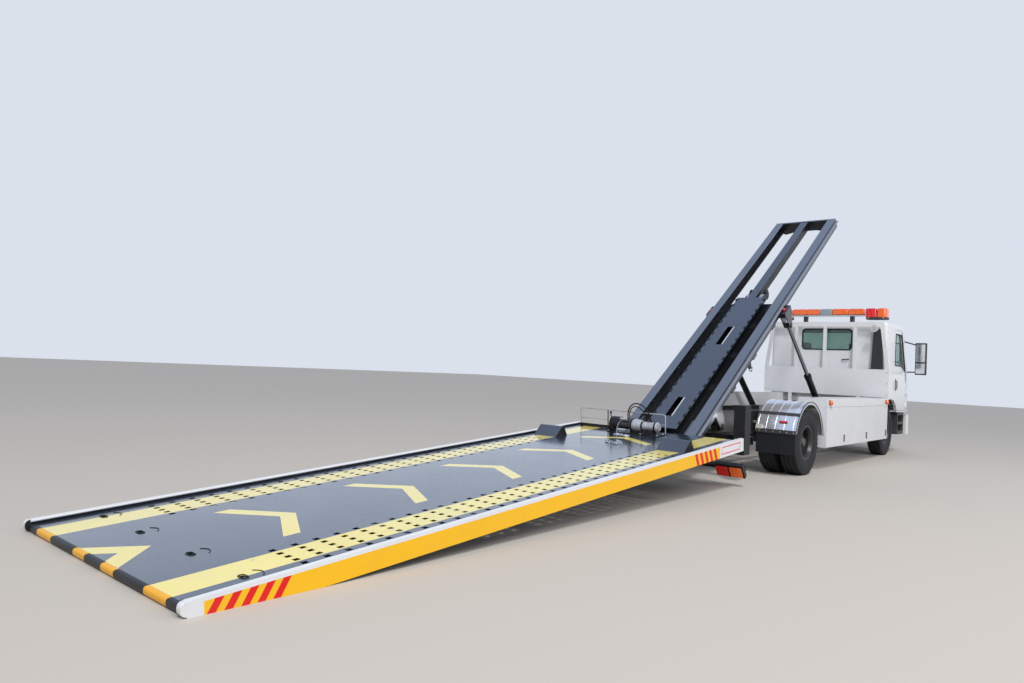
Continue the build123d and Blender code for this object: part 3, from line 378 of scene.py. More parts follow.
def newMaterial(name):
    material = bpy.data.materials.new(name)
    material.use_nodes = True
    tree = material.node_tree
    tree.nodes.clear()
    shader = addNode(tree, "BsdfPrincipled")
    tree.links.new(shader.outputs["BSDF"], addNode(tree, "OutputMaterial").inputs["Surface"])
    return material, tree, shader


def makeStudio(values):
    half = values["floorHalf"]
    mesh = bpy.data.meshes.new("floor")
    corners = [(-half, -half, 0), (half, -half, 0), (half, half, 0), (-half, half, 0)]
    mesh.from_pydata(corners, [], [(0, 1, 2, 3)])
    floor = addObject("floor", mesh)
    material, tree, shader = newMaterial("studioFloor")
    setInputs(shader, {"Base Color": (*values["floorColour"], 1), "Roughness": 0.75})
    mesh.materials.append(material)
    world = bpy.data.worlds.new("studio")
    world.use_nodes = True
    scene.world = world
    tree = world.node_tree
    tree.nodes.clear()
    path = addNode(tree, "LightPath")
    seen = mathNode(tree, "MAXIMUM", path.outputs["Is Camera Ray"], path.outputs["Is Transmission Ray"])
    # the lit sky is dimmer than the one that the camera shows, and shiny surfaces mirror a sky that is
    # bluer higher up
    split = addNode(tree, "SeparateXYZ")
    tree.links.new(addNode(tree, "TexCoord").outputs["Generated"], split.inputs[0])
    start, end = values["upperSkyFrom"]
    height = addNode(tree, "MapRange", values={"From Min": start, "From Max": end})
    tree.links.new(split.outputs["Z"], height.inputs["Value"])
    skyColour = (*values["skyColour"], 1)
    skies = {}
    for key in ("skyStrength", "seenSky", "mirroredSky"):
        skies[key] = addNode(tree, "Background", values={"Color": skyColour, "Strength": values[key]})
    bluer = mixColours(tree, height.outputs["Result"], skyColour, (*values["upperSky"], 1))
    tree.links.new(bluer, skies["mirroredSky"].inputs["Color"])
    blend = skies["skyStrength"]
    for mask, key in ((path.outputs["Is Glossy Ray"], "mirroredSky"), (seen, "seenSky")):
        both = addNode(tree, "MixShader")
        for index, socket in enumerate((mask, blend.outputs[0], skies[key].outputs[0])):
            tree.links.new(socket, both.inputs[index])
        blend = both
    tree.links.new(blend.outputs[0], addNode(tree, "OutputWorld").inputs["Surface"])
    for name, kind, energy, place, turn, size in (
        ("key", "AREA", values["keyEnergy"], (-9, -9, 11), (44, 0, -48), 9),
        ("fill", "AREA", values["fillEnergy"], (3, -12, 7), (62, 0, 8), 8),
        ("sun", "SUN", values["sunStrength"], (0, 0, 20), (38, 8, -60), 0.12),
    ):
        data = bpy.data.lights.new(name, kind)
        data.energy = energy
        setattr(data, "angle" if kind == "SUN" else "size", size)
        lamp = addObject(name, data)
        lamp.location = place
        lamp.rotation_euler = [math.radians(angle) for angle in turn]


makeStudio(stageValues)
scene.view_settings.view_transform = "Standard"
print("camera and studio ready")


# shared effects, each a node group with named inputs and outputs

def startGroup(name, inputs, outputs):
    group = bpy.data.node_groups.new(name, "ShaderNodeTree")
    for label, kind, value in inputs:
        socket = group.interface.new_socket(name=label, in_out="INPUT", socket_type="NodeSocket" + kind)
        socket.default_value = value
    for label, kind in outputs:
        group.interface.new_socket(name=label, in_out="OUTPUT", socket_type="NodeSocket" + kind)
    return group, group.nodes.new("NodeGroupInput"), group.nodes.new("NodeGroupOutput")


def grimeGroup():
    # cloudy dust with fine speckle, more of it low down
    group, given, result = startGroup(
        "roadGrime",
        [("Scale", "Float", 3.0), ("Amount", "Float", 0.5), ("Low Edge", "Float", 0.6),
         ("Speckle", "Float", 90.0)],
        [("Mask", "Float"), ("Height", "Float")],
    )
    place = addNode(group, "TexCoord").outputs["Object"]
    cloud = noise(group, place, {"Detail": 6, "Roughness": 0.65}, given.outputs["Scale"])
    speck = noise(group, place, {"Detail": 3}, given.outputs["Speckle"])
    split = addNode(group, "SeparateXYZ")
    group.links.new(place, split.inputs[0])
    height = mathNode(group, "DIVIDE", split.outputs["Z"], given.outputs["Low Edge"])
    low = minus(group, 1.25, height, True)
    mixed = times(group, times(group, cloud, cloud), plus(group, speck, 0.9))
    mask = times(group, times(group, mixed, low), given.outputs["Amount"], True)
    group.links.new(mask, result.inputs["Mask"])
    group.links.new(speck, result.inputs["Height"])
    return group


def peelGroup():
    # the slight waviness of sprayed enamel
    group, given, result = startGroup(
        "sprayedSurface",
        [("Scale", "Float", 60.0), ("Drift", "Float", 0.1), ("Roughness", "Float", 0.3)],
        [("Height", "Float"), ("Roughness", "Float")],
    )
    place = addNode(group, "TexCoord").outputs["Object"]
    fine = noise(group, place, {"Detail": 2}, given.outputs["Scale"])
    broad = noise(group, place, {"Scale": 2.2, "Detail": 4})
    drift = times(group, minus(group, broad, 0.5), given.outputs["Drift"])
    group.links.new(plus(group, given.outputs["Roughness"], drift, True), result.inputs["Roughness"])
    group.links.new(fine, result.inputs["Height"])
    return group


def scratchGroup():
    # long fine scuffs along one direction, with chips
    group, given, result = startGroup(
        "scuffs",
        [("Scale", "Float", 6.0), ("Stretch", "Vector", (1.0, 14.0, 14.0)), ("Amount", "Float", 0.4)],
        [("Mask", "Float")],
    )
    place = addNode(group, "TexCoord").outputs["Object"]
    stretched = vectorNode(group, "MULTIPLY", place, given.outputs["Stretch"]).outputs[0]
    lines = noise(group, stretched, {"Detail": 8, "Roughness": 0.7}, given.outputs["Scale"])
    patch = noise(group, place, {"Scale": 1.7, "Detail": 3})
    sharp = times(group, minus(group, lines, 0.56, True), 9.0, True)
    where = times(group, minus(group, patch, 0.38, True), 4.0, True)
    mask = times(group, times(group, sharp, where), given.outputs["Amount"], True)
    group.links.new(mask, result.inputs["Mask"])
    return group


groups = {"grime": grimeGroup(), "spray": peelGroup(), "scuffs": scratchGroup()}


def placeGroup(tree, name, **values):
    node = tree.nodes.new("ShaderNodeGroup")
    node.node_tree = groups[name]
    for key, value in values.items():
        node.inputs[key.replace("_", " ")].default_value = value
    return node


def planGroup(name, plan):
    # where a point lies on a slanted part: S along it, Y across it, N above its pivot
    group, given, result = startGroup(name, [], [("S", "Float"), ("Y", "Float"), ("N", "Float")])
    place = addNode(group, "TexCoord").outputs["Object"]
    shifted = vectorNode(group, "SUBTRACT", place, plan.translation).outputs[0]
    for label, axis in (("S", 0), ("Y", 1), ("N", 2)):
        along = vectorNode(group, "DOT_PRODUCT", shifted, plan.col[axis].xyz)
        group.links.new(along.outputs["Value"], result.inputs[label])
    return group


groups["deckPlan"] = planGroup("deckPlan", deckPlace)
groups["tiltPlan"] = planGroup("tiltPlan", tiltPlace)


def treadGroup():
    # raised lens shapes of chequer plate, each turned a quarter from its neighbours
    group, given, result = startGroup("treadPlate", [("Pitch", "Float", 0.028), ("Slim", "Float", 7.0)],
                                      [("Height", "Float")])
    plan = placeGroup(group, "deckPlan")
    cells, shares = [], []
    for label in ("S", "Y"):
        scaled = mathNode(group, "DIVIDE", plan.outputs[label], given.outputs["Pitch"])
        cells.append(mathNode(group, "FLOOR", scaled))
        shares.append(minus(group, mathNode(group, "FRACT", scaled), 0.5))
    parity = mathNode(group, "FRACT", times(group, plus(group, *cells), 0.5))
    turn = minus(group, times(group, over(group, parity, 0.25), 2.0), 1.0)
    turned = times(group, shares[1], turn)
    longWay = mathNode(group, "POWER", plus(group, shares[0], turned), 2.0)
    crossWay = mathNode(group, "POWER", minus(group, shares[0], turned), 2.0)
    slim = given.outputs["Slim"]
    far = plus(group, times(group, longWay, 1.3), times(group, crossWay, times(group, slim, slim)))
    group.links.new(minus(group, 1.0, far, True), result.inputs["Height"])
    return group


groups["tread"] = treadGroup()


def between(tree, value, low, high):
    return times(tree, over(tree, value, low), under(tree, value, high))


def allOf(tree, first, *masks):
    for mask in masks:
        first = times(tree, first, mask)
    return first


def anyOf(tree, first, *masks):
    for mask in masks:
        first = mathNode(tree, "MAXIMUM", first, mask)
    return first


def planSockets(tree, name):
    # along the part, across it either way, and above its pivot
    plan = placeGroup(tree, name)
    return plan.outputs["S"], mathNode(tree, "ABSOLUTE", plan.outputs["Y"]), plan.outputs["N"]


# painted marks on the deck: metres along it from the hinge, across it and above the hinge
markValues = {
    "stripe": (0.655, 0.900),
    "chevronTip": -5.72,
    "chevronPitch": 1.07,
    "chevronSweep": 0.57,
    "chevronThick": 0.12,
    "chevronHalf": 0.43,
    "tailTip": -5.615,
    "tailSweep": 1.08,
    "tailThick": 0.185,
    "floorTop": 0.078,
    "bandLow": 0.090,
    "tailSlash": (-5.850, 0.0905, 0.67, 5),
    "noseSlash": (-0.900, 0.100, -0.40, 5),
    "yellowFrom": -5.845,
    "yellowTo": -0.385,
    "frameFrom": -0.355,
    "frameTo": 0.095,
    "frameLine": 0.010,
    "frameLow": 0.004,
    "frameHigh": 0.082,
    "slashShare": 0.52,
    "ribsFrom": 0.5315,
    "flangeFrom": 0.3535,
    "ledgeFrom": 0.4885,
    "ledge": (0.3125, 0.3255),
}


def floorMarks(tree, shade):
    marks = markValues
    along, across, above = planSockets(tree, "deckPlan")
    stripes = between(tree, across, *marks["stripe"])
    pitch = marks["chevronPitch"]
    swept = plus(tree, along, times(tree, across, marks["chevronSweep"]))
    phase = mathNode(tree, "FRACT", mathNode(tree, "DIVIDE", minus(tree, marks["chevronTip"], swept), pitch))
    chevrons = allOf(tree, under(tree, phase, marks["chevronThick"] / pitch),
                     under(tree, across, marks["chevronHalf"]),
                     between(tree, along, marks["chevronTip"] + 0.4, 0.05))
    sharp = plus(tree, along, times(tree, across, marks["tailSweep"]))
    tailChevron = allOf(tree, between(tree, sharp, marks["tailTip"] - marks["tailThick"], marks["tailTip"]),
                        under(tree, along, marks["chevronTip"] + 0.2))
    painted = anyOf(tree, stripes, chevrons, tailChevron)
    lip = under(tree, along, localBox("deck_floor", deckPlace)[0].x + 0.002)
    onTop = over(tree, above, marks["floorTop"])
    place = addNode(tree, "TexCoord").outputs["Object"]
    wear = noise(tree, place, {"Scale": 7.0, "Detail": 9, "Roughness": 0.72})
    kept = times(tree, minus(tree, 0.70, wear, True), 14.0, True)
    faded = noise(tree, place, {"Scale": 1.3, "Detail": 4})
    paint = mixColours(tree, faded, (0.93, 0.70, 0.060, 1), (0.98, 0.86, 0.19, 1))
    shade = mixColours(tree, allOf(tree, painted, onTop, kept), shade, paint)
    return mixColours(tree, lip, shade, (0.010, 0.010, 0.011, 1))


def slashes(tree, along, above, start, pitch, lean, count):
    moved = minus(tree, along, times(tree, above, lean))
    share = mathNode(tree, "DIVIDE", minus(tree, moved, start), pitch)
    return allOf(tree, under(tree, mathNode(tree, "FRACT", share), markValues["slashShare"]),
                 between(tree, share, 0.0, float(count)))


def railMarks(tree, shade):
    marks = markValues
    along, across, above = planSockets(tree, "deckPlan")
    halfWidth = localBox("side_rails", deckPlace)[1].y
    outside = over(tree, across, halfWidth - 0.0015)
    lower = under(tree, above, marks["bandLow"])
    inside = allOf(tree, under(tree, across, halfWidth - 0.003), under(tree, above, marks["bandLow"] + 0.006))
    shade = mixColours(tree, inside, shade, (0.085, 0.097, 0.125, 1))
    yellow = allOf(tree, outside, lower, between(tree, along, marks["yellowFrom"], marks["yellowTo"]))
    shade = mixColours(tree, yellow, shade, (0.92, 0.50, 0.006, 1))
    tail = slashes(tree, along, above, *marks["tailSlash"])
    nose = slashes(tree, along, above, *marks["noseSlash"])
    lean = minus(tree, along, times(tree, above, 0.3))
    outer, inner = [allOf(tree, between(tree, lean, marks["frameFrom"] + line, marks["frameTo"] - line),
                          between(tree, above, marks["frameLow"] + line, marks["frameHigh"] - line))
                    for line in (0, marks["frameLine"])]
    red = anyOf(tree, tail, nose, minus(tree, outer, inner, True))
    return mixColours(tree, allOf(tree, outside, lower, red), shade, (0.74, 0.004, 0.004, 1))


def fenderPaintedReflection(tree, shade):
    # the ribs stand proud of the sheet and are painted bright, a painted reflection of the sky on them
    place = addNode(tree, "TexCoord").outputs["Object"]
    split = addNode(tree, "SeparateXYZ")
    tree.links.new(vectorNode(tree, "SUBTRACT", place, (rearX, 0, axleZ)).outputs[0], split.inputs[0])
    squares = [mathNode(tree, "POWER", split.outputs[axis], 2.0) for axis in ("X", "Z")]
    proud = over(tree, mathNode(tree, "SQRT", plus(tree, *squares)), markValues["ribsFrom"])
    # painted reflection: the ribs are painted near white
    return mixColours(tree, proud, shade, (0.86, 0.87, 0.88, 1))


def frameShadeAndLedge(tree, shade):
    # the rails' top flange and outer ledge are blue grey; all below them is painted near black, painted shade
    # on the webs and in the channels, with some grease
    along, across, above = planSockets(tree, "tiltPlan")
    ledge = allOf(tree, over(tree, across, markValues["ledgeFrom"]),
                  between(tree, above, *markValues["ledge"]))
    flange = over(tree, above, markValues["flangeFrom"])
    # painted shade: everything below the top flange is painted near black
    shade = mixColours(tree, flange, (0.013, 0.014, 0.017, 1), shade)
    return mixColours(tree, ledge, shade, (0.22, 0.25, 0.31, 1))


markMakers = {"deckPaint": floorMarks, "railPaint": railMarks, "fenderSheet": fenderPaintedReflection,
              "railSteel": frameShadeAndLedge}


# colour, roughness, metal, coat, dust amount and colour, spray scale, bump, scuffs amount and colour
finishes = {
    "whitePaint": dict(colour=(0.74, 0.75, 0.77), rough=0.28, coat=0.5, dust=0.25, bump=0.02),
    "deckPaint": dict(colour=(0.014, 0.021, 0.036), rough=0.22, coat=0.9, dust=0.22, bump=0.06, shine=0.30,
                      dustColour=(0.11, 0.13, 0.17), scuff=0.35, scuffColour=(0.18, 0.21, 0.26)),
    "framePaint": dict(colour=(0.042, 0.052, 0.078), rough=0.34, coat=0.25, dust=0.25, bump=0.05,
                       dustColour=(0.16, 0.17, 0.19), scuff=0.2, scuffColour=(0.20, 0.22, 0.26)),
    "railSteel": dict(colour=(0.095, 0.112, 0.152), rough=0.32, coat=0.3, dust=0.15, bump=0.05,
                      dustColour=(0.16, 0.17, 0.19), scuff=0.15, scuffColour=(0.26, 0.29, 0.34)),
    "silverPaint": dict(colour=(0.46, 0.46, 0.49), rough=0.30, metal=0.35, coat=0.2, dust=0.3, bump=0.10,
                        spray=35),
    "lipYellow": dict(colour=(0.86, 0.42, 0.010), rough=0.35, dust=0.15, bump=0.05, shine=0.3),
    "blackPaint": dict(colour=(0.007, 0.008, 0.010), rough=0.36, dust=0.15, bump=0.05, shine=0.22),
    "chassisPaint": dict(colour=(0.014, 0.014, 0.016), rough=0.50, dust=0.55, bump=0.12, spray=30,
                         shine=0.35),
    "railPaint": dict(colour=(0.74, 0.75, 0.78), rough=0.30, dust=0.15, scuff=0.12, shine=0.25,
                      scuffColour=(0.30, 0.30, 0.31), bump=0.03),
    "brightEdge": dict(colour=(0.82, 0.83, 0.85), rough=0.25, metal=0.3, dust=0.15, bump=0.02),
    "fenderSheet": dict(colour=(0.76, 0.76, 0.78), rough=0.20, metal=0.7, dust=0.12, bump=0.02),
    "greyPanel": dict(colour=(0.30, 0.32, 0.34), rough=0.4, metal=0.2, dust=0.2, bump=0.05),
    "galvanised": dict(colour=(0.48, 0.50, 0.52), rough=0.38, metal=0.85, dust=0.3, bump=0.10, spray=25),
    "machinedSteel": dict(colour=(0.62, 0.63, 0.65), rough=0.16, metal=1.0, dust=0.08, bump=0.01),
    "polishedPlate": dict(colour=(0.80, 0.81, 0.83), rough=0.12, metal=1.0, dust=0.12, bump=0.01),
    "castIron": dict(colour=(0.055, 0.055, 0.058), rough=0.62, dust=0.9, bump=0.35, spray=45),
    # the rims are grey steel, painted near black as painted shade deep in the wheels
    "rimSteelInShade": dict(colour=(0.022, 0.023, 0.026), rough=0.36, metal=0.2, dust=0.20, bump=0.05, shine=0.4),
    "tyreRubber": dict(colour=(0.013, 0.013, 0.015), rough=0.62, dust=0.45, bump=0.12, spray=120, shine=0.25,
                       dustColour=(0.055, 0.053, 0.052)),
    "flapRubber": dict(colour=(0.010, 0.012, 0.016), rough=0.46, dust=0.25, bump=0.08, spray=90, shine=0.3,
                       dustColour=(0.05, 0.05, 0.052)),
    "blackPlastic": dict(colour=(0.022, 0.022, 0.024), rough=0.52, dust=0.4, bump=0.10, spray=260),
    "liningPlastic": dict(colour=(0.16, 0.165, 0.175), rough=0.62, dust=0.1, bump=0.10, spray=220),
    "seatCloth": dict(colour=(0.055, 0.058, 0.066), rough=0.92, dust=0.1, bump=0.5, spray=420),
    "wireRope": dict(colour=(0.42, 0.42, 0.42), rough=0.34, metal=0.9, dust=0.2, bump=0.05),
    "chainSteel": dict(colour=(0.10, 0.10, 0.105), rough=0.42, metal=0.7, dust=0.5, bump=0.1),
    "rodSteel": dict(colour=(0.24, 0.25, 0.28), rough=0.18, metal=1.0, dust=0.08, bump=0.01),
}
dustShade = (0.23, 0.21, 0.18)
materials = {}


def makeFinish(name, colour, rough, metal=0.0, coat=0.0, dust=0.3, dustColour=dustShade, bump=0.05, spray=60,
               scuff=0.0, scuffColour=(0.3, 0.3, 0.3), shine=0.5):
    materials[name], tree, shader = newMaterial(name)
    spraySurface = placeGroup(tree, "spray", Scale=spray, Drift=0.16, Roughness=rough)
    grime = placeGroup(tree, "grime", Scale=2.6, Amount=dust, Low_Edge=1.1)
    shade = (*colour, 1)
    if name in markMakers:
        shade = markMakers[name](tree, shade)
    shade = mixColours(tree, grime.outputs["Mask"], shade, (*dustColour, 1))
    if scuff:
        scuffs = placeGroup(tree, "scuffs", Amount=scuff)
        shade = mixColours(tree, scuffs.outputs["Mask"], shade, (*scuffColour, 1))
    roughness = plus(tree, spraySurface.outputs["Roughness"], times(tree, grime.outputs["Mask"], 0.45), True)
    setInputs(shader, {"Metallic": metal, "Coat Weight": coat, "Coat Roughness": 0.12,
                       "Specular IOR Level": shine})
    normal = addBump(tree, spraySurface.outputs["Height"], bump, 0.002)
    if name == "deckPaint":
        normal = addBump(tree, placeGroup(tree, "tread").outputs["Height"], 0.35, 0.0016, normal)
    for label, socket in (("Base Color", shade), ("Roughness", roughness), ("Normal", normal)):
        tree.links.new(socket, shader.inputs[label])


for finishName, finishValues in finishes.items():
    makeFinish(finishName, **finishValues)


def makeLens(name, colour, glow):
    # a ribbed coloured lens over a reflector
    materials[name], tree, shader = newMaterial(name)
    cells = addNode(tree, "TexVoronoi", {"feature": "F1", "distance": "CHEBYCHEV"},
                    {"Scale": 130.0, "Randomness": 0.0})
    tree.links.new(addNode(tree, "TexCoord").outputs["Object"], cells.inputs["Vector"])
    ribs = cells.outputs["Distance"]
    dark = (colour[0] * 0.45, colour[1] * 0.35, colour[2] * 0.3, 1)
    shade = mixColours(tree, times(tree, ribs, 1.2, True), (*colour, 1), dark)
    tree.links.new(shade, shader.inputs["Base Color"])
    setInputs(shader, {"Roughness": 0.18, "Coat Weight": 0.8, "Coat Roughness": 0.05})
    if glow:
        tree.links.new(shade, shader.inputs["Emission Color"])
        shader.inputs["Emission Strength"].default_value = glow
    tree.links.new(addBump(tree, ribs, 0.4, 0.002), shader.inputs["Normal"])


for lensName, lensColour, lensGlow in (
    ("redLens", (0.74, 0.008, 0.005), 0.20),
    ("amberLens", (0.90, 0.145, 0.006), 0.22),
    ("clearLens", (0.70, 0.72, 0.74), 0.0),
    ("plateWhite", (0.72, 0.72, 0.70), 0.0),
):
    makeLens(lensName, lensColour, lensGlow)


def makeGlass(name, tint):
    materials[name], tree, shader = newMaterial(name)
    spraySurface = placeGroup(tree, "spray", Scale=4.0, Drift=0.04, Roughness=0.05)
    tree.links.new(spraySurface.outputs["Roughness"], shader.inputs["Roughness"])
    setInputs(shader, {"Base Color": (*tint, 1), "Transmission Weight": 0.9, "IOR": 1.45})


makeGlass("cabGlass", (0.40, 0.55, 0.49))
print("finishes ready:", len(materials))

# the finish of every solid that came with the frame
nodeFinish = {
    "chassisPaint": "chassis_frame front_axle rear_axle",
    "whitePaint": "headboard locker_left locker_right front_bumper cab_back cab_sides cab_roof cab_front "
                  "door_left door_right locker_lid_left locker_lid_right",
    "blackPaint": "rear_beam cab_floor tail_lamps cylinder_barrels",
    "castIron": "engine_block leaf_springs knuckle_left knuckle_right",
    "blackPlastic": "snorkel cab_steps mirrors",
    "amberLens": "body_lamps light_bar",
    "fenderSheet": "rear_fenders",
    "flapRubber": "mud_flaps",
    "cabGlass": "cab_glass door_glass_left door_glass_right",
    "seatCloth": "cab_interior",
    "tyreRubber": "front_tyre_left front_tyre_right rear_tyres_left rear_tyres_right",
    "rimSteelInShade": "front_rim_left front_rim_right rear_rims_left rear_rims_right",
    "railSteel": "frame_rails",
    "framePaint": "frame_cover carriage deck_beams wheel_chocks",
    "chainSteel": "roller_chains",
    "deckPaint": "deck_floor lash_tracks",
    "railPaint": "side_rails",
    "galvanised": "winch winch_guard rope_hook",
    "wireRope": "winch_rope",
    "rodSteel": "cylinder_rods",
}


def dressNode(name, finish):
    mesh = nodes[name].data
    mesh.materials.clear()
    mesh.materials.append(materials[finish])
    for slot in nodes[name].material_slots:
        slot.link = "DATA"


for finish, nodeNames in nodeFinish.items():
    for nodeName in nodeNames.split():
        dressNode(nodeName, finish)
print("nodes dressed")


# the wire rope from the winch to its hook, by the same points as the solid

ropeValues = {
    "points": [(-0.080, 0.250, 0.226), (-0.170, 0.250, 0.226), (-0.300, 0.205, 0.160), (-0.430, 0.130, 0.100),
               (-0.560, 0.040, 0.0895), (-0.690, -0.060, 0.0895)],
    "diameter": 0.010,
}


def addSpline(name, points, fineness):
    # a curve of order 3 through these control points
    curve = bpy.data.curves.new(name, "CURVE")
    curve.dimensions = "3D"
    spline = curve.splines.new("NURBS")
    spline.points.add(len(points) - 1)
    for point, place in zip(spline.points, points):
        point.co = (*place, 1)
    spline.order_u = 3
    spline.use_endpoint_u = True
    spline.resolution_u = fineness
    return curve


def makeRope(values, points):
    curve = addSpline("winchRope", points, 12)
    curve.bevel_depth = values["diameter"] / 2
    curve.bevel_resolution = 3
    curve.use_fill_caps = True
    curve.materials.append(materials["wireRope"])
    return addObject("winchRope", curve)


def splineLength(points):
    # read off the curve itself
    holder = bpy.data.objects.new("probe", addSpline("probe", points, 24))
    mesh = bpy.data.meshes.new_from_object(holder)
    line = [vertex.co.copy() for vertex in mesh.vertices]
    bpy.data.objects.remove(holder)
    bpy.data.meshes.remove(mesh)
    return sum((b - a).length for a, b in zip(line, line[1:]))


ropePoints = [onDeck(*local) for local in ropeValues["points"]]
rope = makeRope(ropeValues, ropePoints)


ropeLength = splineLength(ropePoints)
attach(rope, "deck")
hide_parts("winch_rope")
print("rope ready,", round(ropeLength, 3), "m")


# tyres with a block tread, turned about the axle in steps that carry the zigzag and the shoulder notches

tyreValues = {
    "radius": 0.4255,
    "pitches": 46,
    "grooves": (-0.056, 0.0, 0.056),
    "grooveHalf": 0.0045,
    "grooveDeep": 0.013,
    "zigzag": (0.0, 0.006, 0.0, -0.006),
    "notchDeep": 0.010,
    "side": ((0.2130, 0.0825), (0.2165, 0.0905), (0.2330, 0.0990), (0.2620, 0.1075), (0.2900, 0.1112),
             (0.2925, 0.1124), (0.2985, 0.1124), (0.3010, 0.1116), (0.3400, 0.1118), (0.3425, 0.1125),
             (0.3485, 0.1125), (0.3510, 0.1112), (0.3800, 0.1070), (0.4020, 0.1035)),
    "shoulder": ((0.4150, 0.1020), (0.4222, 0.0985), (0.4232, 0.0850)),
}


def tyreSection(values, step):
    shift = values["zigzag"][step % 4]
    notch = values["notchDeep"] if step % 4 == 0 else 0
    edge = list(values["side"]) + [(r - notch, h) for r, h in values["shoulder"]]
    section = [(r, -h) for r, h in edge]
    for groove in values["grooves"]:
        crown = values["radius"] - 0.7 * groove * groove
        low, high = groove + shift - values["grooveHalf"], groove + shift + values["grooveHalf"]
        floor = crown - values["grooveDeep"]
        section += [(crown, low), (floor, low + 0.001), (floor, high - 0.001), (crown, high)]
    return section + [(r, h) for r, h in reversed(edge)]


def makeTyres(name, body, centres, replaced, values):
    bm = bmesh.new()
    sections = [tyreSection(values, step) for step in range(values["pitches"] * 4)]
    for centre in centres:
        turnSections(bm, sections, facing(centre, (0, 1, 0)))
    finishPiece(bm, name, body, ["tyreRubber"], angle=30, replaces=[replaced])


# wheel nuts on the rim's disc, hub bolts and the cap over the bearing
trimValues = {
    "discRadius": 0.1375,
    "nuts": 8,
    "hubRadius": 0.085,
    "hubBolts": 8,
    "cap": ((0.062, 0.0), (0.062, 0.006), (0.055, 0.008), (0.054, 0.026), (0.049, 0.036), (0.036, 0.042),
            (0.014, 0.044), (0.0, 0.044)),
    "valve": 0.176,
}


def boltSpots(radius, count, shift=0.0):
    turns = [2 * math.pi * (turn + shift) / count for turn in range(count)]
    return [Matrix.Rotation(turn, 4, "Z") @ Matrix.Translation((radius, 0, 0)) for turn in turns]


def makeWheelTrim(name, body, centre, side, discY, hubY, values):
    bm = bmesh.new()
    disc = facing((centre[0], side * discY, centre[2]), (0, side, 0))
    for spot in boltSpots(values["discRadius"], values["nuts"]):
        addNut(bm, disc @ spot, 0.016, 0.020)
        addBar(bm, (0, 0, 0.015), (0, 0, 0.030), 0.008, disc @ spot, sides=8)
    hub = facing((centre[0], side * hubY, centre[2]), (0, side, 0))
    for spot in boltSpots(values["hubRadius"], values["hubBolts"], 0.5):
        addNut(bm, hub @ spot, 0.009, 0.009)
    addLathe(bm, values["cap"], hub, material=1, sides=32)
    stem = disc @ Matrix.Translation((values["valve"], 0, 0))
    addBar(bm, (0, 0, -0.01), (0.004, 0, 0.042), 0.004, stem, 1, 8)
    # the wheel nuts share the rims' near-black painted shade
    finishPiece(bm, name, body, ["rimSteelInShade", "castIron"])


twinY, twinInnerY, frontY = 0.950, 0.660, 0.840
for side, word in bothSides:
    title = word.title()
    frontBody, rearBody = "front_wheel_" + word, "rear_wheels_" + word
    twins = [(rearX, side * y, axleZ) for y in (twinY, twinInnerY)]
    makeTyres("frontTyre" + title, frontBody, [(frontX, side * frontY, axleZ)], "front_tyre_" + word,
              tyreValues)
    makeTyres("rearTyres" + title, rearBody, twins, "rear_tyres_" + word, tyreValues)
    makeWheelTrim("frontHub" + title, frontBody, (frontX, 0, axleZ), side, 0.891, 0.900, trimValues)
    makeWheelTrim("rearHub" + title, rearBody, (rearX, 0, axleZ), side, 0.881, 0.980, trimValues)
print("tyres and hubs ready")


# lamps

def lensBox(bm, x, right, left, halfDepth, low, high, corner, material, crown=0.020):
    # a lens box with rounded corners and a softly domed top, standing on z = low
    levels = ((0.0, low), (0.0, high - crown), (crown * 0.25, high - crown * 0.35), (crown * 0.8, high))
    width = left - right
    rings = []
    for inset, z in levels:
        outline = roundedOutline(2 * (halfDepth - inset), width - 2 * inset, max(corner - inset, 0.004), 6)
        rings.append([bm.verts.new(fromAxle(x + dx, (right + left) / 2 + dy, z)) for dx, dy in outline])
    bridge(bm, rings, material)
    addCaps(bm, rings, material)


barValues = {
    "x": 4.400,
    "top": 2.590,
    "roof": 2.3195,
    # right y, left y, half depth, low z, corner, material
    "lenses": ((-0.900, -0.735, 0.119, 2.432, 0.058, 0), (-0.730, -0.550, 0.119, 2.432, 0.022, 1),
               (-0.515, -0.243, 0.084, 2.482, 0.018, 0), (-0.239, 0.035, 0.084, 2.482, 0.018, 0),
               (0.040, 0.255, 0.092, 2.478, 0.010, 2), (0.260, 0.508, 0.084, 2.482, 0.018, 0),
               (0.512, 0.760, 0.084, 2.482, 0.018, 0), (0.790, 0.900, 0.119, 2.432, 0.050, 1)),
    "bases": ((-0.900, -0.550, 0.120, 0.058), (0.790, 0.900, 0.120, 0.050)),
    "feet": (0.535, -0.300),
}


def makeLightBar(values):
    bm = bmesh.new()
    x = values["x"]
    for right, left, halfDepth, low, corner, material in values["lenses"]:
        lensBox(bm, x, right, left, halfDepth, low, values["top"], corner, material)
    for right, left, halfDepth, corner in values["bases"]:
        lensBox(bm, x, right, left, halfDepth, 2.395, 2.432, corner, 3, 0.006)
        for y in (right + 0.05, left - 0.05):
            addNut(bm, facingBack(x - halfDepth, y, 2.414), 0.006, 0.004, 4)
    addBox(bm, fromAxle(x - 0.072, -0.870, 2.456), fromAxle(x + 0.072, 0.870, 2.476), material=4)
    addBox(bm, fromAxle(x - 0.088, -0.530, 2.474), fromAxle(x + 0.088, 0.775, 2.484), material=3)
    roof = values["roof"]
    for y in values["feet"]:
        for dx, dy, low, high in ((0.045, 0.030, roof + 0.012, 2.458), (0.060, 0.042, roof, roof + 0.014)):
            addBox(bm, fromAxle(x - dx, y - dy, low), fromAxle(x + dx, y + dy, high), material=3)
        for edge in (-0.052, 0.052):
            addNut(bm, facing(fromAxle(x + edge, y, roof + 0.014), (0, 0, 1)), 0.006, 0.006, 4)
    finishPiece(bm, "lightBar", "cab", ["amberLens", "redLens", "greyPanel", "blackPlastic", "brightEdge"],
                bevel=0.002, replaces=["light_bar"])


makeLightBar(barValues)


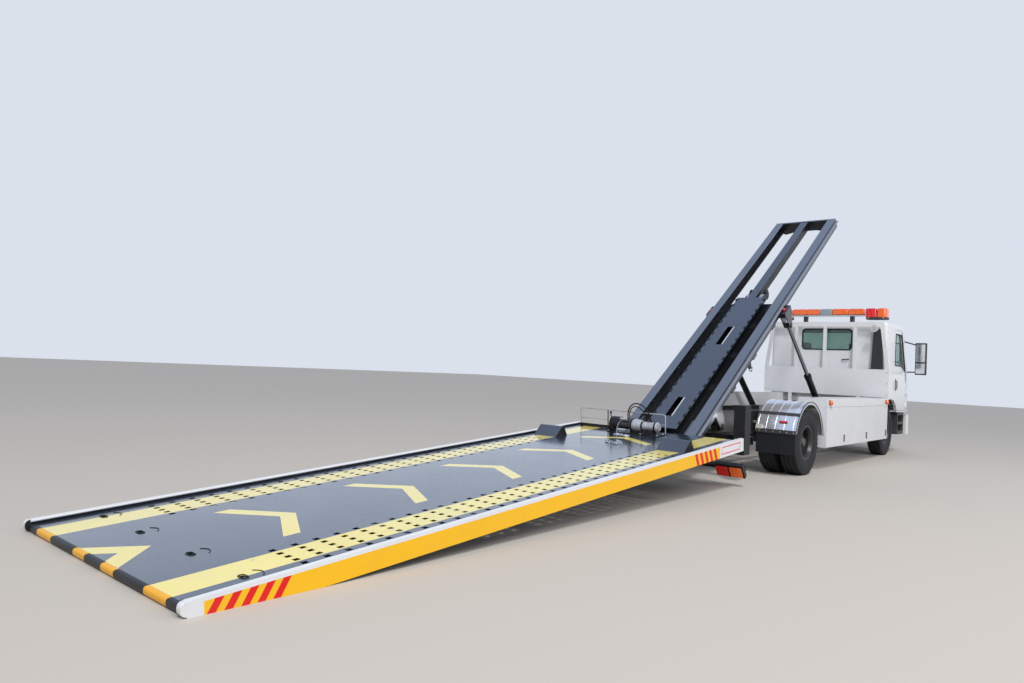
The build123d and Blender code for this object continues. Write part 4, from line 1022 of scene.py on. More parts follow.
tailLensValues = {
    # inner y, outer y, material
    "covers": ((0.700, 0.850, 0), (0.862, 1.010, 1)),
    "middle": -0.020,
    # width, height and corner
    "cover": (0.142, 0.138, 0.014),
    "rib": (0.128, 0.034, 0.006),
    "ribDrops": (-0.044, 0.0, 0.044),
    "screw": (0.060, 0.058),
}


def makeTailLenses(values):
    # red and amber covers in black bezels on the two lamp boxes of the hanging bar
    bm = bmesh.new()
    low = localBox("tail_lamps", tiltPlace)[0].x
    for side in (1, -1):
        for y0, y1, material in values["covers"]:
            cover = facing(onTilt(low + 0.001, side * (y0 + y1) / 2, values["middle"]), -tiltAlong, tiltLeft)
            addPlate(bm, roundedOutline(*values["cover"]), 0.006, cover, material)
            for drop in values["ribDrops"]:
                shifted = cover @ Matrix.Translation((0, drop, 0.006))
                addPlate(bm, roundedOutline(*values["rib"], 3), 0.003, shifted, material)
            x, y = values["screw"]
            for corner in (1, -1):
                addNut(bm, cover @ Matrix.Translation((x * corner, y * corner, 0.006)), 0.004, 0.003, 2)
    finishPiece(bm, "tailLenses", "tilt_frame", ["redLens", "amberLens", "galvanised"], bevel=0.0015)


makeTailLenses(tailLensValues)

bodyLampValues = {
    "markerX": (0.750, 3.670),
    "markerZ": 0.942,
    "markerY": 1.090,
    "headBack": 5.640,
    "headBox": (0.640, 0.930, 0.490, 0.640),
    "workPlace": (3.785, -0.850, 2.190),
}


def makeBodyLamps(values):
    bm = bmesh.new()
    for side in (1, -1):
        for x in values["markerX"]:
            place = facing(fromAxle(x, side * values["markerY"], values["markerZ"]), (0, side, 0))
            addLathe(bm, [(0.038, 0.0), (0.038, 0.006), (0.035, 0.009), (0.028, 0.009)], place, 2, 28)
            addLathe(bm, [(0.033, 0.006), (0.0325, 0.026), (0.029, 0.035), (0.020, 0.041), (0.009, 0.043),
                          (0.0, 0.043)], place, 0, 28)
        y0, y1, z0, z1 = values["headBox"]
        middle = fromAxle(values["headBack"] - 0.008, side * (y0 + y1) / 2, (z0 + z1) / 2)
        front = facing(middle, (1, 0, 0), (0, 1, 0))
        width, height = y1 - y0, z1 - z0
        addPlate(bm, roundedOutline(width, height, 0.022), 0.016, front, 2)
        for shift, wide, material in ((-0.045 * side, 0.150, 1), (0.092 * side, 0.076, 0)):
            cell = front @ Matrix.Translation((-shift, 0, 0.014))
            addPlate(bm, roundedOutline(wide, height - 0.026, 0.016), 0.006, cell, material)
        bulb = front @ Matrix.Translation((0.045 * side, 0, 0.018))
        addLathe(bm, [(0.050, 0.0), (0.050, 0.003), (0.044, 0.003), (0.042, 0.0)], bulb, 3, 32)
    x, y, z = values["workPlace"]
    lamp = facing(fromAxle(x, y, z), (-1, 0, 0), (0, 1, 0))
    addLathe(bm, [(0.0, -0.001), (0.030, 0.0), (0.052, 0.014), (0.061, 0.034), (0.061, 0.058), (0.052, 0.058),
                  (0.050, 0.050)], lamp, 3, 40)
    addLathe(bm, [(0.051, 0.049), (0.048, 0.056), (0.030, 0.059), (0.0, 0.060)], lamp, 1, 40)
    finishPiece(bm, "bodyLamps", "chassis", ["amberLens", "clearLens", "blackPlastic", "brightEdge"],
                bevel=0.0, replaces=["body_lamps"])


makeBodyLamps(bodyLampValues)
print("lamps ready")


# roller chains in the frame's channels

chainValues = {
    "pitch": 0.0762,
    "middle": 0.457,
    "narrow": 0.011,
    "wide": 0.0165,
    "plate": 0.0035,
    "half": 0.0085,
    "roller": 0.0078,
}


def linkOutline(pitch, half, steps=5):
    points = []
    for centre, start in ((pitch, -90), (0.0, 90)):
        points += [(centre + x, y) for x, y in arcPoints(half, start, 180, steps)]
    return points


def makeChains(values):
    bm = bmesh.new()
    low, high = localBox("roller_chains", tiltPlace)
    pitch = values["pitch"]
    count = int((high.x - low.x) / pitch)
    outline = linkOutline(pitch * 0.82, values["half"])
    for side in (1, -1):
        for link in range(count):
            start = low.x + (link + 0.09) * pitch
            offset = values["narrow"] if link % 2 else values["wide"]
            for y in (offset - values["plate"], -offset):
                origin = onTilt(start, side * values["middle"] + y, low.z + 0.009)
                addPlate(bm, outline, values["plate"], facing(origin, (0, 1, 0), tiltAlong))
            u, middle, w = low.x + link * pitch, side * values["middle"], low.z + 0.009
            if link:
                for half, radius, sides in ((0.012, values["roller"], 12), (0.0168, 0.0035, 8)):
                    addBar(bm, (u, middle - half, w), (u, middle + half, w), radius, tiltPlace, 1, sides)
    finishPiece(bm, "rollerChains", "tilt_frame", ["chainSteel", "machinedSteel"],
                replaces=["roller_chains"])


makeChains(chainValues)
print("chains ready")


# winch: base, side plates, drum with its wound rope, gearbox, motor and clutch lever, in deck metres

deckTop = 0.080  # the deck's surface above its hinge
winchValues = {
    "along": -0.075,
    "axis": 0.175,
    "plates": ((0.110, 0.122), (0.395, 0.407)),
    "plateHalf": 0.080,
    "wraps": (0.138, 0.380, 24),
    "ropeRadius": 0.0465,
    "ropeThick": 0.0095,
    "lever": ((0.0, 0.418, 0.0), (-0.012, 0.424, 0.125)),
    # radius and y down the gearbox and motor
    "gearbox": ((0.0, 0.110), (0.070, 0.110), (0.074, 0.106), (0.074, 0.066), (0.070, 0.062), (0.070, 0.034),
                (0.066, 0.030), (0.066, 0.008), (0.060, 0.004), (0.0, 0.004)),
    "motor": ((0.0, 0.006), (0.052, 0.006), (0.052, -0.060), (0.049, -0.063), (0.049, -0.100),
              (0.052, -0.103), (0.052, -0.163), (0.057, -0.166), (0.057, -0.202), (0.053, -0.205),
              (0.040, -0.206), (0.038, -0.221), (0.0, -0.222)),
    # across the deck: the base's ends and its nuts, the plates' bolts by angle, and the two tie rods
    "base": (-0.250, 0.430),
    "baseNuts": (-0.225, -0.010, 0.260, 0.418),
    "plateBolts": (30, 90, 150),
    "tieRods": (40, 140),
    "boltCircle": 0.066,
}


def deckSide(along, y, above):
    # x forward along the deck, y up from it, z to the right
    return facing(onDeck(along, y, above), (0, -1, 0), deckAlong)


def makeWinch(values):
    bm = bmesh.new()
    s, floor, axis = values["along"], deckTop, values["axis"]
    right, left = values["base"]
    addBox(bm, (s - 0.085, right, floor), (s + 0.085, left, floor + 0.010), deckPlace, 0)
    circle = values["boltCircle"]
    for y in values["baseNuts"]:
        for edge in (-0.068, 0.068):
            addNut(bm, facing(onDeck(s + edge, y, floor + 0.010), deckUp), 0.010, 0.010, 1)
    half = values["plateHalf"]
    arch = [(-half, floor - axis), (half, floor - axis)]
    arch += arcPoints(half, 0, 180, 20)
    for low, high in values["plates"]:
        addPlate(bm, arch, high - low, deckSide(s, high, axis), 0)
        for angle in values["plateBolts"]:
            turn = math.radians(angle)
            face, start, end = (low, -0.006, -0.012) if low > 0.2 else (high, 0.018, 0.012)
            spot = deckSide(s + circle * math.cos(turn), face, axis + circle * math.sin(turn))
            addBar(bm, (0, 0, start), (0, 0, end), 0.009, spot, 1, 6)
    for angle in values["tieRods"]:
        turn = math.radians(angle)
        rod = (s + 0.0665 * math.cos(turn), axis + 0.0665 * math.sin(turn))
        addBar(bm, (rod[0], 0.120, rod[1]), (rod[0], 0.397, rod[1]), 0.006, deckPlace, 0, 12)
    start, end, count = values["wraps"]
    pitch = (end - start) / count
    wound = [(0.040, start)]
    for wrap in range(count):
        for share, rise in ((0.0, 0.0), (0.22, 0.72), (0.5, 1.0), (0.78, 0.72)):
            wound.append((values["ropeRadius"] + values["ropeThick"] * rise, start + (wrap + share) * pitch))
    wound += [(values["ropeRadius"], end), (0.040, end)]
    drum = facing(onDeck(s, 0, axis), (0, 1, 0), deckAlong)
    addLathe(bm, wound, drum, 2, 36)
    addBar(bm, (0, 0, 0.100), (0, 0, 0.410), 0.042, drum, 0, 28)
    for y in (0.130, 0.380):
        addLathe(bm, [(0.030, y), (0.075, y), (0.078, y + 0.002), (0.078, y + 0.006), (0.075, y + 0.008),
                      (0.030, y + 0.008)], drum, 3, 40)
    addLathe(bm, values["gearbox"], drum, 1, 40)
    addLathe(bm, values["motor"], drum, 1, 36)
    for spots, deep, radius in ((circlePoints(circle, 10, 0.062), -0.006, 0.005),
                                (circlePoints(0.046, 4, -0.205, 0.5), -0.008, 0.007)):
        for spot in spots:
            addBar(bm, (0, 0, 0), (0, 0, deep), radius, drum @ Matrix.Translation(spot), 2, 6)
    for y in (-0.125, -0.080):
        addBar(bm, (s, y, axis + 0.045), (s, y, axis + 0.062), 0.013, deckPlace, 2, 6)
        addBar(bm, (s, y, axis + 0.060), (s, y, axis + 0.070), 0.009, deckPlace, 0, 12)
    addBox(bm, (s - 0.050, -0.150, floor + 0.008), (s + 0.050, -0.040, axis - 0.040), deckPlace, 0)
    addBox(bm, (s - 0.060, 0.035, floor + 0.008), (s + 0.060, 0.100, axis - 0.055), deckPlace, 0)
    foot, top = values["lever"]
    foot, top = Vector((s, 0, axis)) + Vector(foot), Vector((s, 0, axis)) + Vector(top)
    addBar(bm, (s, 0.400, axis), (s, 0.430, axis), 0.022, deckPlace, 3, 20)
    addBar(bm, foot, top, 0.007, deckPlace, 0, 12, 0.0055)
    ball = facing(deckPlace @ top, deckUp)
    halfTurn = [math.pi * step / 10 for step in range(11)]
    addLathe(bm, [(0.015 * math.sin(a), -0.015 * math.cos(a)) for a in halfTurn], ball, 0, 18)
    clamp = ropeValues["points"][0]
    addBox(bm, (clamp[0], clamp[1] - 0.010, clamp[2] - 0.012),
           (clamp[0] + 0.018, clamp[1] + 0.010, clamp[2] + 0.009), deckPlace, 1)
    # dark clamp bands round the gearbox and the motor's far end, and a cover over the drum
    for y0, y1, radius in ((-0.020, 0.000, 0.0545), (-0.186, -0.166, 0.0585)):
        addLathe(bm, [(radius - 0.004, y0), (radius, y0), (radius, y1), (radius - 0.004, y1)], drum, 0, 36)
    hood = arcPoints(0.083, 62, 120, 14)
    hood += [(0.080 * x / 0.083, 0.080 * y / 0.083) for x, y in reversed(hood)]
    addPlate(bm, hood, 0.112, deckSide(s, 0.392, axis), 0)
    finishPiece(bm, "winch", "deck", ["blackPaint", "silverPaint", "chainSteel", "castIron"], bevel=0.0012,
                angle=34, replaces=["winch"], segments=1)


makeWinch(winchValues)


# two-bar guard in front of the winch, its round hoop and the kick plate along its foot
guardValues = {
    "along": 0.060,
    "ends": (0.960, -0.220),
    "middle": 0.560,
    "levels": (0.185, 0.305),
    "tube": 0.0065,
    # left y, right y, rise above the top bar, lean back, height of its feet
    "hoop": (0.279, -0.028, 0.112, 0.060, 0.190),
    "kick": (0.450, 0.955, 0.040),
}


def makeGuard(values):
    bm = bmesh.new()
    s, floor, tube = values["along"], deckTop, values["tube"]
    left, right = values["ends"]
    low, high = values["levels"]
    turn = 0.022
    frameTube = [(s, left, floor), (s, left, high - turn), (s, left - turn * 0.3, high - turn * 0.3),
                 (s, left - turn, high), (s, right + turn, high), (s, right + turn * 0.3, high - turn * 0.3),
                 (s, right, high - turn), (s, right, floor)]
    addRod(bm, frameTube, tube, deckPlace, 0, 12)
    addBar(bm, (s, left, low), (s, right, low), tube * 0.9, deckPlace, 0, 12)
    addBar(bm, (s, values["middle"], floor), (s, values["middle"], high), tube, deckPlace, 1, 12)
    for y in (left, values["middle"], right):
        addBox(bm, (s - 0.020, y - 0.020, floor), (s + 0.020, y + 0.020, floor + 0.005), deckPlace, 1)
        addNut(bm, facing(onDeck(s - 0.013, y + 0.013, floor + 0.005), deckUp), 0.004, 0.004, 0)
    hoopLeft, hoopRight, rise, back, feet = values["hoop"]
    middle, half = (hoopLeft + hoopRight) / 2, (hoopLeft - hoopRight) / 2
    for scale, thick, shift in ((1.0, 0.0075, 0.008), (0.76, 0.0060, -0.014)):
        arch = []
        for step in range(33):
            angle = math.pi * step / 32
            lift = math.sin(angle)
            arch.append((s + shift - back * lift, middle + half * scale * math.cos(angle),
                         feet + (high + rise - feet) * lift ** 0.8 * (0.4 + 0.6 * scale)))
        addRod(bm, arch, thick, deckPlace, 1, 12)
    kickFrom, kickTo, tall = values["kick"]
    addBox(bm, (s - 0.014, kickFrom, floor + 0.001), (s - 0.008, kickTo, floor + tall), deckPlace, 1)
    finishPiece(bm, "winchGuard", "deck", ["silverPaint", "blackPaint"], bevel=0.0008, angle=34,
                replaces=["winch_guard"], segments=1)


makeGuard(guardValues)


# on the deck: rims round the keyholes, the scored arcs ahead of them, and dark ends on the chocks
deckTrimValues = {
    "keyholeS": -5.541,
    "keyholes": (-0.900, -0.330, 0.330, 0.900),
    "arcAhead": 0.110,
    "arcHalf": 0.055,
    "chockS": -0.760,
}


def makeDeckTrim(values):
    bm = bmesh.new()
    middle = values["keyholeS"]
    for y in values["keyholes"]:
        rim = roundedOutline(0.070, 0.036, 0.0175, 6)
        oval = [(middle + dx, y + dy, deckTop + 0.0008) for dy, dx in rim]
        addRod(bm, oval, 0.0042, deckPlace, 1, 8, closed=True)
        arc = []
        for step in range(13):
            share = step / 6 - 1
            arc.append((middle + values["arcAhead"] - 0.028 * share * share, y + values["arcHalf"] * share,
                        deckTop + 0.0005))
        addRod(bm, arc, 0.0035, deckPlace, 1, 8)
    for side in (1, -1):
        for low, high in ((0.6385, 0.6400), (0.9500, 0.9515)):
            outline = [(-0.124, 0.001), (0.086, 0.001), (0.028, 0.103), (-0.004, 0.103)]
            place = deckSide(values["chockS"], max(side * low, side * high), deckTop)
            addPlate(bm, outline, high - low, place, 1)
    finishPiece(bm, "deckTrim", "deck", ["galvanised", "blackPaint"])


makeDeckTrim(deckTrimValues)


# rounded nosing along the deck's back edge and the curled toes of the side rails
noseValues = {
    "back": -5.926,
    "section": ((0.022, 0.0812), (0.004, 0.0812), (-0.004, 0.0790), (-0.009, 0.0735), (-0.011, 0.0650),
                (-0.011, 0.0520), (-0.008, 0.0420), (-0.002, 0.0375), (0.004, 0.0375), (0.004, 0.0750),
                (0.022, 0.0790)),
    "joins": (-1.052, -0.900, -0.655, -0.287, -0.117, 0.117, 0.287, 0.655, 0.900, 1.052),
    "yellow": (1, 3, 5, 7),
    "toe": ((0.002, 0.1100), (-0.014, 0.1080), (-0.026, 0.0980), (-0.031, 0.0820), (-0.030, 0.0620),
            (-0.022, 0.0480), (-0.010, 0.0410), (0.002, 0.0380)),
    "toeWidth": (1.053, 1.093),
}


def makeNosing(values):
    bm = bmesh.new()
    joins = values["joins"]
    for index, (right, left) in enumerate(zip(joins, joins[1:])):
        place = deckSide(values["back"], left, 0)
        addPlate(bm, values["section"], left - right, place, 1 if index in values["yellow"] else 0)
    low, high = values["toeWidth"]
    for side in (1, -1):
        addPlate(bm, values["toe"], high - low, deckSide(values["back"], max(side * low, side * high), 0), 2)
        seal = [(s * 1.12 + 0.002, 0.074 + (n - 0.074) * 1.06) for s, n in values["toe"]]
        addPlate(bm, seal, 0.005, deckSide(values["back"], side * low + (0.0 if side > 0 else 0.005), 0), 0)
    finishPiece(bm, "tailNosing", "deck", ["blackPaint", "lipYellow", "brightEdge"], bevel=0.001, angle=40)


makeNosing(noseValues)


# short length of chain lying by the hook, and a snap hook lying loose nearer the winch

chainPile = {
    # along the deck, across it and the turn of each link in degrees
    "links": ((-0.742, 0.010, 120), (-0.766, 0.024, 165), (-0.795, 0.022, 200), (-0.818, 0.004, 235),
              (-0.826, -0.024, 275), (-0.822, -0.054, 255), (-0.836, -0.080, 240), (-0.852, -0.106, 250),
              (-0.858, -0.136, 275), (-0.846, -0.162, 310), (-0.820, -0.174, 350), (-0.792, -0.164, 25),
              (-0.778, -0.138, 80), (-0.784, -0.110, 110)),
    "half": 0.020,
    "wide": 0.0115,
    "thick": 0.0043,
}


def makeChainPile(values):
    bm = bmesh.new()
    for index, (s, y, turn) in enumerate(values["links"]):
        tip = math.radians(62 if index % 2 else 12)
        place = deckPlace @ Matrix.Translation((s, y, deckTop + (0.0130 if index % 2 else 0.0075)))
        place = place @ Matrix.Rotation(math.radians(turn), 4, "Z") @ Matrix.Rotation(tip, 4, "X")
        link = [(values["half"] * x, values["wide"] * y, 0) for x, y, z in circlePoints(1, 16)]
        addRod(bm, link, values["thick"], place, 0, 8, closed=True)
    finishPiece(bm, "looseChain", "deck", ["galvanised"])


makeChainPile(chainPile)

snapHook = {"place": (-0.345, 0.115), "turn": 78, "thick": 0.011}


def makeSnapHook(values):
    bm = bmesh.new()
    s, y = values["place"]
    thick = values["thick"]
    turned = Matrix.Rotation(math.radians(values["turn"]), 4, "Z")
    place = deckPlace @ Matrix.Translation((s, y, deckTop + thick)) @ turned
    eye = [(-0.074 + x, y, 0) for x, y, z in circlePoints(0.032, 24)]
    addRod(bm, eye, thick * 0.8, place, 0, 10, closed=True)
    bowl = [(-0.042, 0.0, 0)]
    bowl += [(0.046 + 0.050 * x, 0.044 * y, 0) for x, y in arcPoints(1, 125, -290, 20)]
    addRod(bm, bowl, thick, place, 0, 12)
    addBar(bm, (0.010, 0.034, 0.006), (0.048, -0.026, 0.006), 0.005, place, 1, 10)
    finishPiece(bm, "snapHook", "deck", ["galvanised", "blackPaint"])


makeSnapHook(snapHook)


# tilt frame's cover plate with its slots, the slim beam above it, the sheaves and a black sheet underneath;
# the webs under the cover, the beam's sides and the sheet are black as painted shade

coverValues = {
    "back": -0.560,
    "front": 2.560,
    "half": 0.210,
    "slots": ((-0.330, 0.060), (1.280, 1.740)),
    "slotHalf": 0.050,
    "top": 0.365,
    "thick": 0.012,
    "webs": (0.150, 0.160, 0.215),
    # beam: right y, left y, low, high
    "beam": (-0.048, 0.070, 0.232, 0.359),
    "sheaves": ((2.800, 0.275, 0.098, 0.078), (2.800, 0.275, -0.110, 0.078)),
    "shadeSheet": (-0.600, 2.620, 0.440, 0.2085, 0.2145),
}


def addHoledPlate(bm, alongs, acrosses, holes, low, high, place, material=0):
    # a flat plate on a grid of cells, left open where a hole is named
    corners = {}
    for row, along in enumerate(alongs):
        for column, across in enumerate(acrosses):
            for level, height in enumerate((low, high)):
                corners[row, column, level] = bm.verts.new(place @ Vector((along, across, height)))
    rows, columns = range(len(alongs) - 1), range(len(acrosses) - 1)
    solid = {(row, column) for row in rows for column in columns} - set(holes)
    for row, column in solid:
        ring = ((row, column), (row + 1, column), (row + 1, column + 1), (row, column + 1))
        for level in (0, 1):
            bm.faces.new([corners[r, c, level] for r, c in ring]).material_index = material
        beside = ((row, column - 1), (row + 1, column), (row, column + 1), (row - 1, column))
        for index, neighbour in enumerate(beside):
            if neighbour not in solid:
                a, b = ring[index], ring[(index + 1) % 4]
                wall = ((a, 0), (b, 0), (b, 1), (a, 1))
                face = bm.faces.new([corners[(*spot, level)] for spot, level in wall])
                face.material_index = material


def makeFrameCover(values):
    bm = bmesh.new()
    half, slotHalf, top, thick = (values[key] for key in ("half", "slotHalf", "top", "thick"))
    (a, b), (c, d) = values["slots"]
    addHoledPlate(bm, (values["back"], a, b, c, d, values["front"]), (-half, -slotHalf, slotHalf, half),
                  ((1, 1), (3, 1)), top - thick, top, tiltPlace, 0)
    # painted shade: the webs under the cover are black
    inner, outer, low = values["webs"]
    for side in (1, -1):
        addBox(bm, (values["back"], side * inner, low), (values["front"], side * outer, top - thick),
               tiltPlace, 1)
    right, left, beamLow, beamHigh = values["beam"]
    wall = 0.008
    front, end = values["front"] - 0.030, localBox("frame_rails", tiltPlace)[1].x - 0.030
    # the beam's top is frame paint, while its sides and underside are black as painted shade
    for y0, w0, y1, w1, material in (
        (right, beamHigh - wall, left, beamHigh, 0),
        (right, beamLow, right + wall, beamHigh - wall, 1),
        (left - wall, beamLow, left, beamHigh - wall, 1),
        (right + wall, beamLow, left - wall, beamLow + wall, 1),
    ):
        addBox(bm, (front, y0, w0), (end, y1, w1), tiltPlace, material)
    for u, w, y, radius in values["sheaves"]:
        wheel = facing(onTilt(u, y, w), tiltLeft, tiltAlong)
        groove = [(0.022, -0.016), (radius, -0.016), (radius, -0.012), (radius - 0.012, 0.0), (radius, 0.012),
                  (radius, 0.016), (0.022, 0.016)]
        addLathe(bm, groove, wheel, 1, 40, closed=True)
        addBar(bm, (0, 0, -0.022), (0, 0, 0.022), 0.0225, wheel, 2, 24)
        side = 1 if y > 0 else -1
        arm = [(u - 0.190, w - 0.040), (u - 0.020, w - 0.036), (u + 0.036, w), (u, w + 0.036),
               (u - 0.190, w + 0.075)]
        cheek = facing(onTilt(0, y + side * 0.026, 0), (0, -1, 0), tiltAlong)
        addPlate(bm, arm, 0.008, cheek, 1)
        addBox(bm, (u - 0.200, y - 0.030, w - 0.050), (u - 0.100, y + 0.030, w + 0.060), tiltPlace, 2)
        addBar(bm, (u - 0.100, y, w), (u - 0.060, y, w), 0.020, tiltPlace, 2, 20)
    # a thin black sheet across the frame's bottom, painted shade inside the frame
    start, end, half, low, high = values["shadeSheet"]
    addBox(bm, (start, -half, low), (end, half, high), tiltPlace, 1)
    finishPiece(bm, "frameCover", "tilt_frame", ["framePaint", "blackPaint", "galvanised"], bevel=0.0012,
                angle=34, replaces=["frame_cover"], segments=1)


makeFrameCover(coverValues)


# bright lips in the cover's slots, black notches along its edges as painted shadow, pins, the towing shackle
# and bolts

tiltValues = {
    "shadowNotches": (-0.480, 2.480, 0.155),
    "eye": (2.324, 0.030),
    "cheeks": ((0.513, -1), (0.590, 1)),
    "crossU": (-0.560, 0.500, 1.250, 2.000),
    "railHalf": 0.487,
    "railLow": 0.215,
    "shackle": (1.080, 0.150),
}


def makeTiltTrim(values, cover):
    bm = bmesh.new()
    top, slotHalf = cover["top"], cover["slotHalf"]
    for start, end in cover["slots"]:
        addBox(bm, (start + 0.004, -slotHalf, top - 0.030), (end - 0.004, -slotHalf + 0.011, top + 0.003),
               tiltPlace, 0)
        for u in (start + 0.03, end - 0.03):
            addNut(bm, facing(onTilt(u, slotHalf + 0.022, top), -tiltUp), 0.008, 0.006, 2)
    # black notches along both edges of the cover: painted shadow
    first, last, pitch = values["shadowNotches"]
    for step in range(int((last - first) / pitch) + 1):
        u = first + step * pitch
        for side in (1, -1):
            low, high = side * (cover["half"] - 0.022), side * (cover["half"] + 0.012)
            notch = [(u, low), (u + 0.012, high), (u + 0.052, high), (u + 0.064, low)]
            addPlate(bm, notch, 0.017, tiltPlace @ Matrix.Translation((0, 0, top - 0.012)), 1)
    finishPiece(bm, "coverTrim", "tilt_frame", ["brightEdge", "blackPaint", "galvanised"], bevel=0.0012)


def makeTiltPins(values):
    bm = bmesh.new()
    u, w = values["eye"]
    for side in (1, -1):
        for y, out in values["cheeks"]:
            place = facing(onTilt(u, side * y, w), (0, side * out, 0))
            addLathe(bm, [(0.0, 0.009), (0.020, 0.009), (0.030, 0.007), (0.032, 0.004), (0.032, -0.001)],
                     place, 0, 32)
            addNut(bm, place @ Matrix.Translation((0, 0, 0.008)), 0.009, 0.007, 2)
        cap = facing(onTilt(u - 0.020, side * 0.540, 0.2945), tiltUp)
        addLathe(bm, [(0.022, 0.0), (0.022, 0.014), (0.017, 0.024), (0.008, 0.029), (0.0, 0.030)], cap, 1, 24)
        pivot = facing(onTilt(0, side * values["railHalf"], 0), (0, side, 0))
        addLathe(bm, [(0.0, 0.010), (0.024, 0.010), (0.034, 0.007), (0.036, 0.003), (0.036, 0.0)], pivot, 0,
                 32)
    for centre in values["crossU"]:
        for side in (1, -1):
            for du in (-0.040, 0.040):
                for y in (0.300, 0.345):
                    place = facing(onTilt(centre + du, side * y, values["railLow"]),
                                   tiltUp)
                    addNut(bm, place, 0.010, 0.009, 2)
    finishPiece(bm, "framePins", "tilt_frame", ["blackPaint", "redLens", "galvanised"])


def makeShackle(values):
    bm = bmesh.new()
    u, w = values["shackle"]
    drop = values["railLow"] - w
    lug = [(-0.052, drop), (-0.028, -0.014), (0.0, -0.026), (0.028, -0.014), (0.052, drop)]
    addPlate(bm, lug, 0.014, facing(onTilt(u, -0.459, w), (0, -1, 0), tiltAlong), 0)
    across = []
    for step in range(21):
        angle = math.pi * step / 20
        across.append((u, -0.466 + 0.021 * math.cos(angle), w - 0.004 - 0.062 * math.sin(angle) ** 0.6))
    addRod(bm, across, 0.0065, tiltPlace, 1, 10)
    addBar(bm, (u, -0.497, w - 0.002), (u, -0.437, w - 0.002), 0.0065, tiltPlace, 1, 12)
    addBar(bm, (u, -0.497, w - 0.002), (u, -0.489, w - 0.002), 0.012, tiltPlace, 1, 6)
    finishPiece(bm, "railShackle", "tilt_frame", ["blackPaint", "galvanised"], bevel=0.001)


makeTiltTrim(tiltValues, coverValues)
makeTiltPins(tiltValues)
makeShackle(tiltValues)
print("tilt frame trim ready")


# fenders and flaps: the strap across, edge trim, the side lamp and the flap's clamp bar

fenderValues = {
    "radius": 0.530,
    "crest": 0.537,
    "inner": 0.560,
    "outer": 1.085,
    "strap": (134.5, 138.8),
    "endAngle": 165.0,
    # angle round the axle, y, width, height, how far out it stands, material: lamp base, lamp, blank plate
    "badges": ((150.4, 0.905, 0.104, 0.034, 0.001, 0), (150.4, 0.905, 0.092, 0.022, 0.006, 1),
               (159.5, 0.612, 0.090, 0.062, 0.009, 2)),
    "startAngle": 8.0,
}


def roundAxle(radius, angle, y):
    turn = math.radians(angle)
    return Vector((rearX + radius * math.cos(turn), y, axleZ + radius * math.sin(turn)))


def makeFenderTrim(values):
    bm = bmesh.new()
    endZ = axleZ + values["radius"] * math.sin(math.radians(values["endAngle"]))
    for side in (1, -1):
        first, last = values["strap"]
        rings = []
        for y in (values["inner"] - 0.012, values["outer"] + 0.004):
            rings.append([bm.verts.new(roundAxle(r, a, side * y)) for a, r in
                          [(first, values["crest"] - 0.003), (first, values["crest"] + 0.005),
                           (last, values["crest"] + 0.005), (last, values["crest"] - 0.003)]])
        bridge(bm, rings)
        addCaps(bm, rings)
        angles = [values["startAngle"] + step * 3.27 for step in range(49)]
        edge = [roundAxle(values["radius"] + 0.001, angle, side * values["outer"]) for angle in angles]
        addRod(bm, edge, 0.006, material=0, sides=8)
        clampLow = (-0.5345, side * (values["inner"] + 0.020), endZ - 0.020)
        clampHigh = (-0.5215, side * values["outer"], endZ + 0.026)
        addBox(bm, fromAxle(*clampLow), fromAxle(*clampHigh), material=0)
        for step in range(6):
            y = values["inner"] + 0.062 + step * 0.088
            addNut(bm, facingBack(-0.5345, side * y, endZ + 0.003), 0.007, 0.006, 3)
        for angle, y, wide, tall, deep, material in values["badges"]:
            outward = roundAxle(1, angle, 0) - roundAxle(0, 0, 0)
            spot = facing(roundAxle(values["radius"] + deep, angle, side * y), outward, (0, 1, 0))
            addPlate(bm, roundedOutline(wide, tall, 0.010), 0.010, spot, material)
    finishPiece(bm, "fenderTrim", "chassis", ["blackPlastic", "redLens", "plateWhite", "galvanised"],
                bevel=0.0015)


makeFenderTrim(fenderValues)


# locker latches: a black recessed pull over each of the lid's three latches

latchValues = {"back": (2.346, 1.220, 0.090), "front": 3.780, "low": 0.385, "high": 0.475, "face": 1.099}


def makeLatches(side, word, values):
    bm = bmesh.new()
    for back in values["back"]:
        x = values["front"] - back
        place = facing(fromAxle(x, side * (values["face"] - 0.010), (values["low"] + values["high"]) / 2),
                       (0, side, 0), (0, 0, 1))
        addPlate(bm, roundedOutline(0.100, 0.034, 0.008), 0.0105, place, 0)
        addPlate(bm, roundedOutline(0.074, 0.014, 0.006), 0.0135, place, 1)
        addBar(bm, (-0.030, 0, 0.009), (-0.030, 0, 0.0145), 0.006, place, 2, 12)
    finishPiece(bm, "latches" + word.title(), "locker_lid_" + word,
                ["blackPlastic", "greyPanel", "machinedSteel"], bevel=0.0015)


for side, word in bothSides:
    makeLatches(side, word, latchValues)


# headboard bolts and the fittings between it and the cab

headboardValues = {
    "face": 3.845,
    # radius and height of a bolt, then the places across and up
    "bolts": ((0.009, 0.008, (0.445, 0.595), (0.668, 0.690)),
              (0.008, 0.006, (1.045,), (1.060, 1.250, 1.440))),
}


def makeHeadboardTrim(values):
    bm = bmesh.new()
    for side in (1, -1):
        for radius, height, acrosses, ups in values["bolts"]:
            for z in ups:
                for y in acrosses:
                    addNut(bm, facingBack(values["face"], side * y, z), radius, height)
    finishPiece(bm, "headboardBolts", "chassis", ["galvanised"])


rearFittingValues = {
    "housing": (3.951, -0.242, 1.690),
    "handle": ((3.952, -0.285, 1.640), (3.925, -0.285, 1.642), (3.918, -0.300, 1.644), (3.918, -0.375, 1.650),
               (3.925, -0.390, 1.652), (3.952, -0.390, 1.652)),
}


